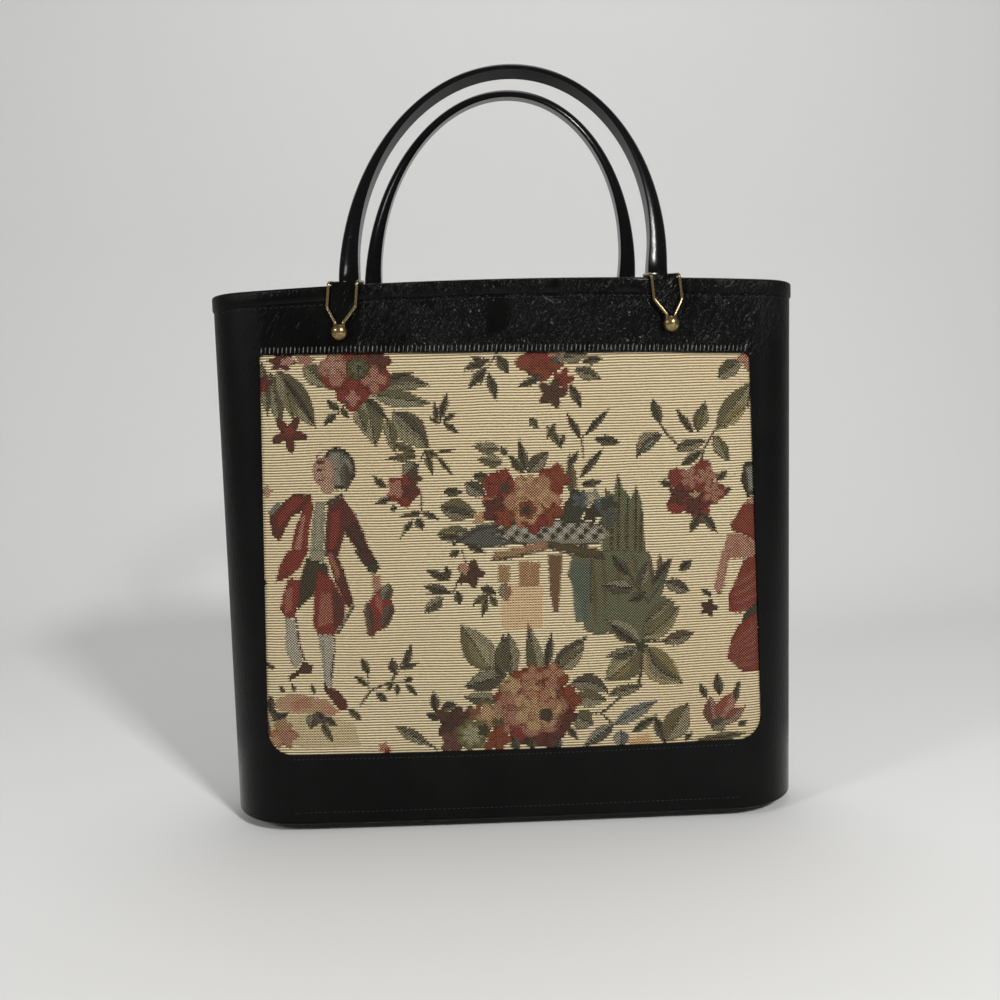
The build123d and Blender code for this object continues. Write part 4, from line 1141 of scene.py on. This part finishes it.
def store(mesh, stitches):
    """Gives all four corners of a face the same values, so that each face is one stitch."""
    corners = np.repeat(stitches.reshape(-1, 6), 4, axis=0).astype(np.float32)
    layer = mesh.attributes.new("drawing", "FLOAT_COLOR", "CORNER")
    layer.data.foreach_set("color", corners[:, :4].ravel())
    for name, column in (("figure", 4), ("dots", 5)):
        layer = mesh.attributes.new(name, "FLOAT", "CORNER")
        layer.data.foreach_set("value", np.ascontiguousarray(corners[:, column]))


PANEL_FINISH = tapestry_finish()
line_x = np.linspace(-PANEL_HALF_WIDTH, PANEL_HALF_WIDTH, 315)
line_z = np.arange(PANEL_LOW, PANEL_HIGH, RIB_PITCH / 2)
panel_x, panel_z = np.meshgrid(line_x, line_z)
rows, columns = panel_x.shape
middle_x, middle_z = np.meshgrid((line_x[1:] + line_x[:-1]) / 2, (line_z[1:] + line_z[:-1]) / 2)
stitches = draw_all(middle_x.ravel(), middle_z.ravel()).reshape(rows - 1, columns - 1, 6)
for name, side in (("front", -1), ("back", 1)):
    points = front_point(panel_x, panel_z, PANEL_INSET, side)
    faces = grid_faces(rows, columns)
    if side > 0:
        faces = faces[:, ::-1]
    panel = make_mesh(f"{name}_weave", points, faces, PANEL_FINISH)
    store(panel.data, stitches if side < 0 else stitches[:, ::-1])
    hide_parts(f"{name}_tapestry", *(f"{name}_{figure}" for figure in FIGURES))

# %% [markdown]
# ## Thread
#
# Black thread runs in close upright stitches along the window's upper edge, in small stitches
# along its lower edge, below the rim binding and near the foot. A stitch is a small
# capsule: one low ring of points, copied to every place along a row.


# %% Stitches
def wall_frame(x, z, side):
    """The wall's point, its outward normal and the sideways direction, by small differences."""
    p = front_point(x, z, 0.0, side)
    across = front_point(x + 0.5, z, 0.0, side) - front_point(x - 0.5, z, 0.0, side)
    upward = front_point(x, z + 0.5, 0.0, side) - front_point(x, z - 0.5, 0.0, side)
    across /= np.linalg.norm(across, axis=-1, keepdims=True)
    upward /= np.linalg.norm(upward, axis=-1, keepdims=True)
    return p, -side * np.cross(across, upward), across, upward


def stitch_row(name, x, z, side, length, width, turn, finish, rings=6, sides=6):
    """Capsules with half of each above the leather. Their long axis stands at an angle to the row;
    its radius is width / 2 times the root of 1 - t^4, with t from -1 to 1 along it."""
    x, z = np.asarray(x, float), np.asarray(z, float)
    p, normal, across, upward = wall_frame(x, z, side)
    axis = across * math.cos(turn) + upward * math.sin(turn)
    binormal = np.cross(axis, normal)
    t = np.linspace(-1, 1, rings)
    a = np.linspace(0, 2 * np.pi, sides, endpoint=False)
    radius = width / 2 * np.sqrt(np.maximum(1 - t**4, 0.02))
    points = (
        p[:, None, None, :]
        + axis[:, None, None, :] * (t * length / 2)[None, :, None, None]
        + normal[:, None, None, :] * (radius[:, None] * np.cos(a))[None, :, :, None]
        + binormal[:, None, None, :] * (radius[:, None] * np.sin(a))[None, :, :, None]
    )
    one = grid_faces(rings, sides, wrap_columns=True)
    faces = (one[None] + (np.arange(x.size) * rings * sides)[:, None, None]).reshape(-1, 4)
    return make_mesh(name, points, faces, finish)


def thread_finish(name, dark, light):
    """Waxed thread, lighter here and there where it is rubbed. The grey of the pale thread is painted highlight,
    standing for light caught by black stitches.
    """
    f = Finish(name, roughness=0.4, Specular_IOR_Level=0.2)
    f.colour(f.mix(f.noise(f.place(), 700.0).step(0.35, 0.65), dark, light))
    return f


THREAD = thread_finish("thread", (0.004, 0.004, 0.004), (0.02, 0.02, 0.019))
# Painted highlight: the pale grey thread above the window stands for black thread that catches the light.
THREAD_PAINTED_HIGHLIGHT = thread_finish("thread_painted_highlight", (0.02, 0.02, 0.019), (0.20, 0.20, 0.18))
WINDOW_TOP, WINDOW_FALL, WINDOW_BOTTOM = 257.6, 5.4, 44.2
for name, side in (("front", -1), ("back", 1)):
    row = np.arange(-129.5, 129.6, 2.3)
    edge = WINDOW_TOP - WINDOW_FALL * row / 2 / 130.7
    stitch_row(f"{name}_window_stitches", row, edge + 2.3, side, 3.4, 0.6, math.pi / 2 - 0.12, THREAD_PAINTED_HIGHLIGHT)
    row = np.arange(-121.0, 121.1, 2.4)
    stitch_row(f"{name}_sill_stitches", row, WINDOW_BOTTOM - 2.6 + 0 * row, side, 1.5, 0.5, 0.0, THREAD)
    row = np.arange(-150.0, 150.1, 3.0)
    stitch_row(f"{name}_hem_stitches", row, rim_at(row) - BINDING_DEPTH - 1.6, side, 2.1, 0.5, 0.06, THREAD)
    row = np.arange(-121.0, 121.1, 2.6)
    stitch_row(f"{name}_foot_stitches", row, 12.0 + 0 * row, side, 1.7, 0.45, 0.0, THREAD)
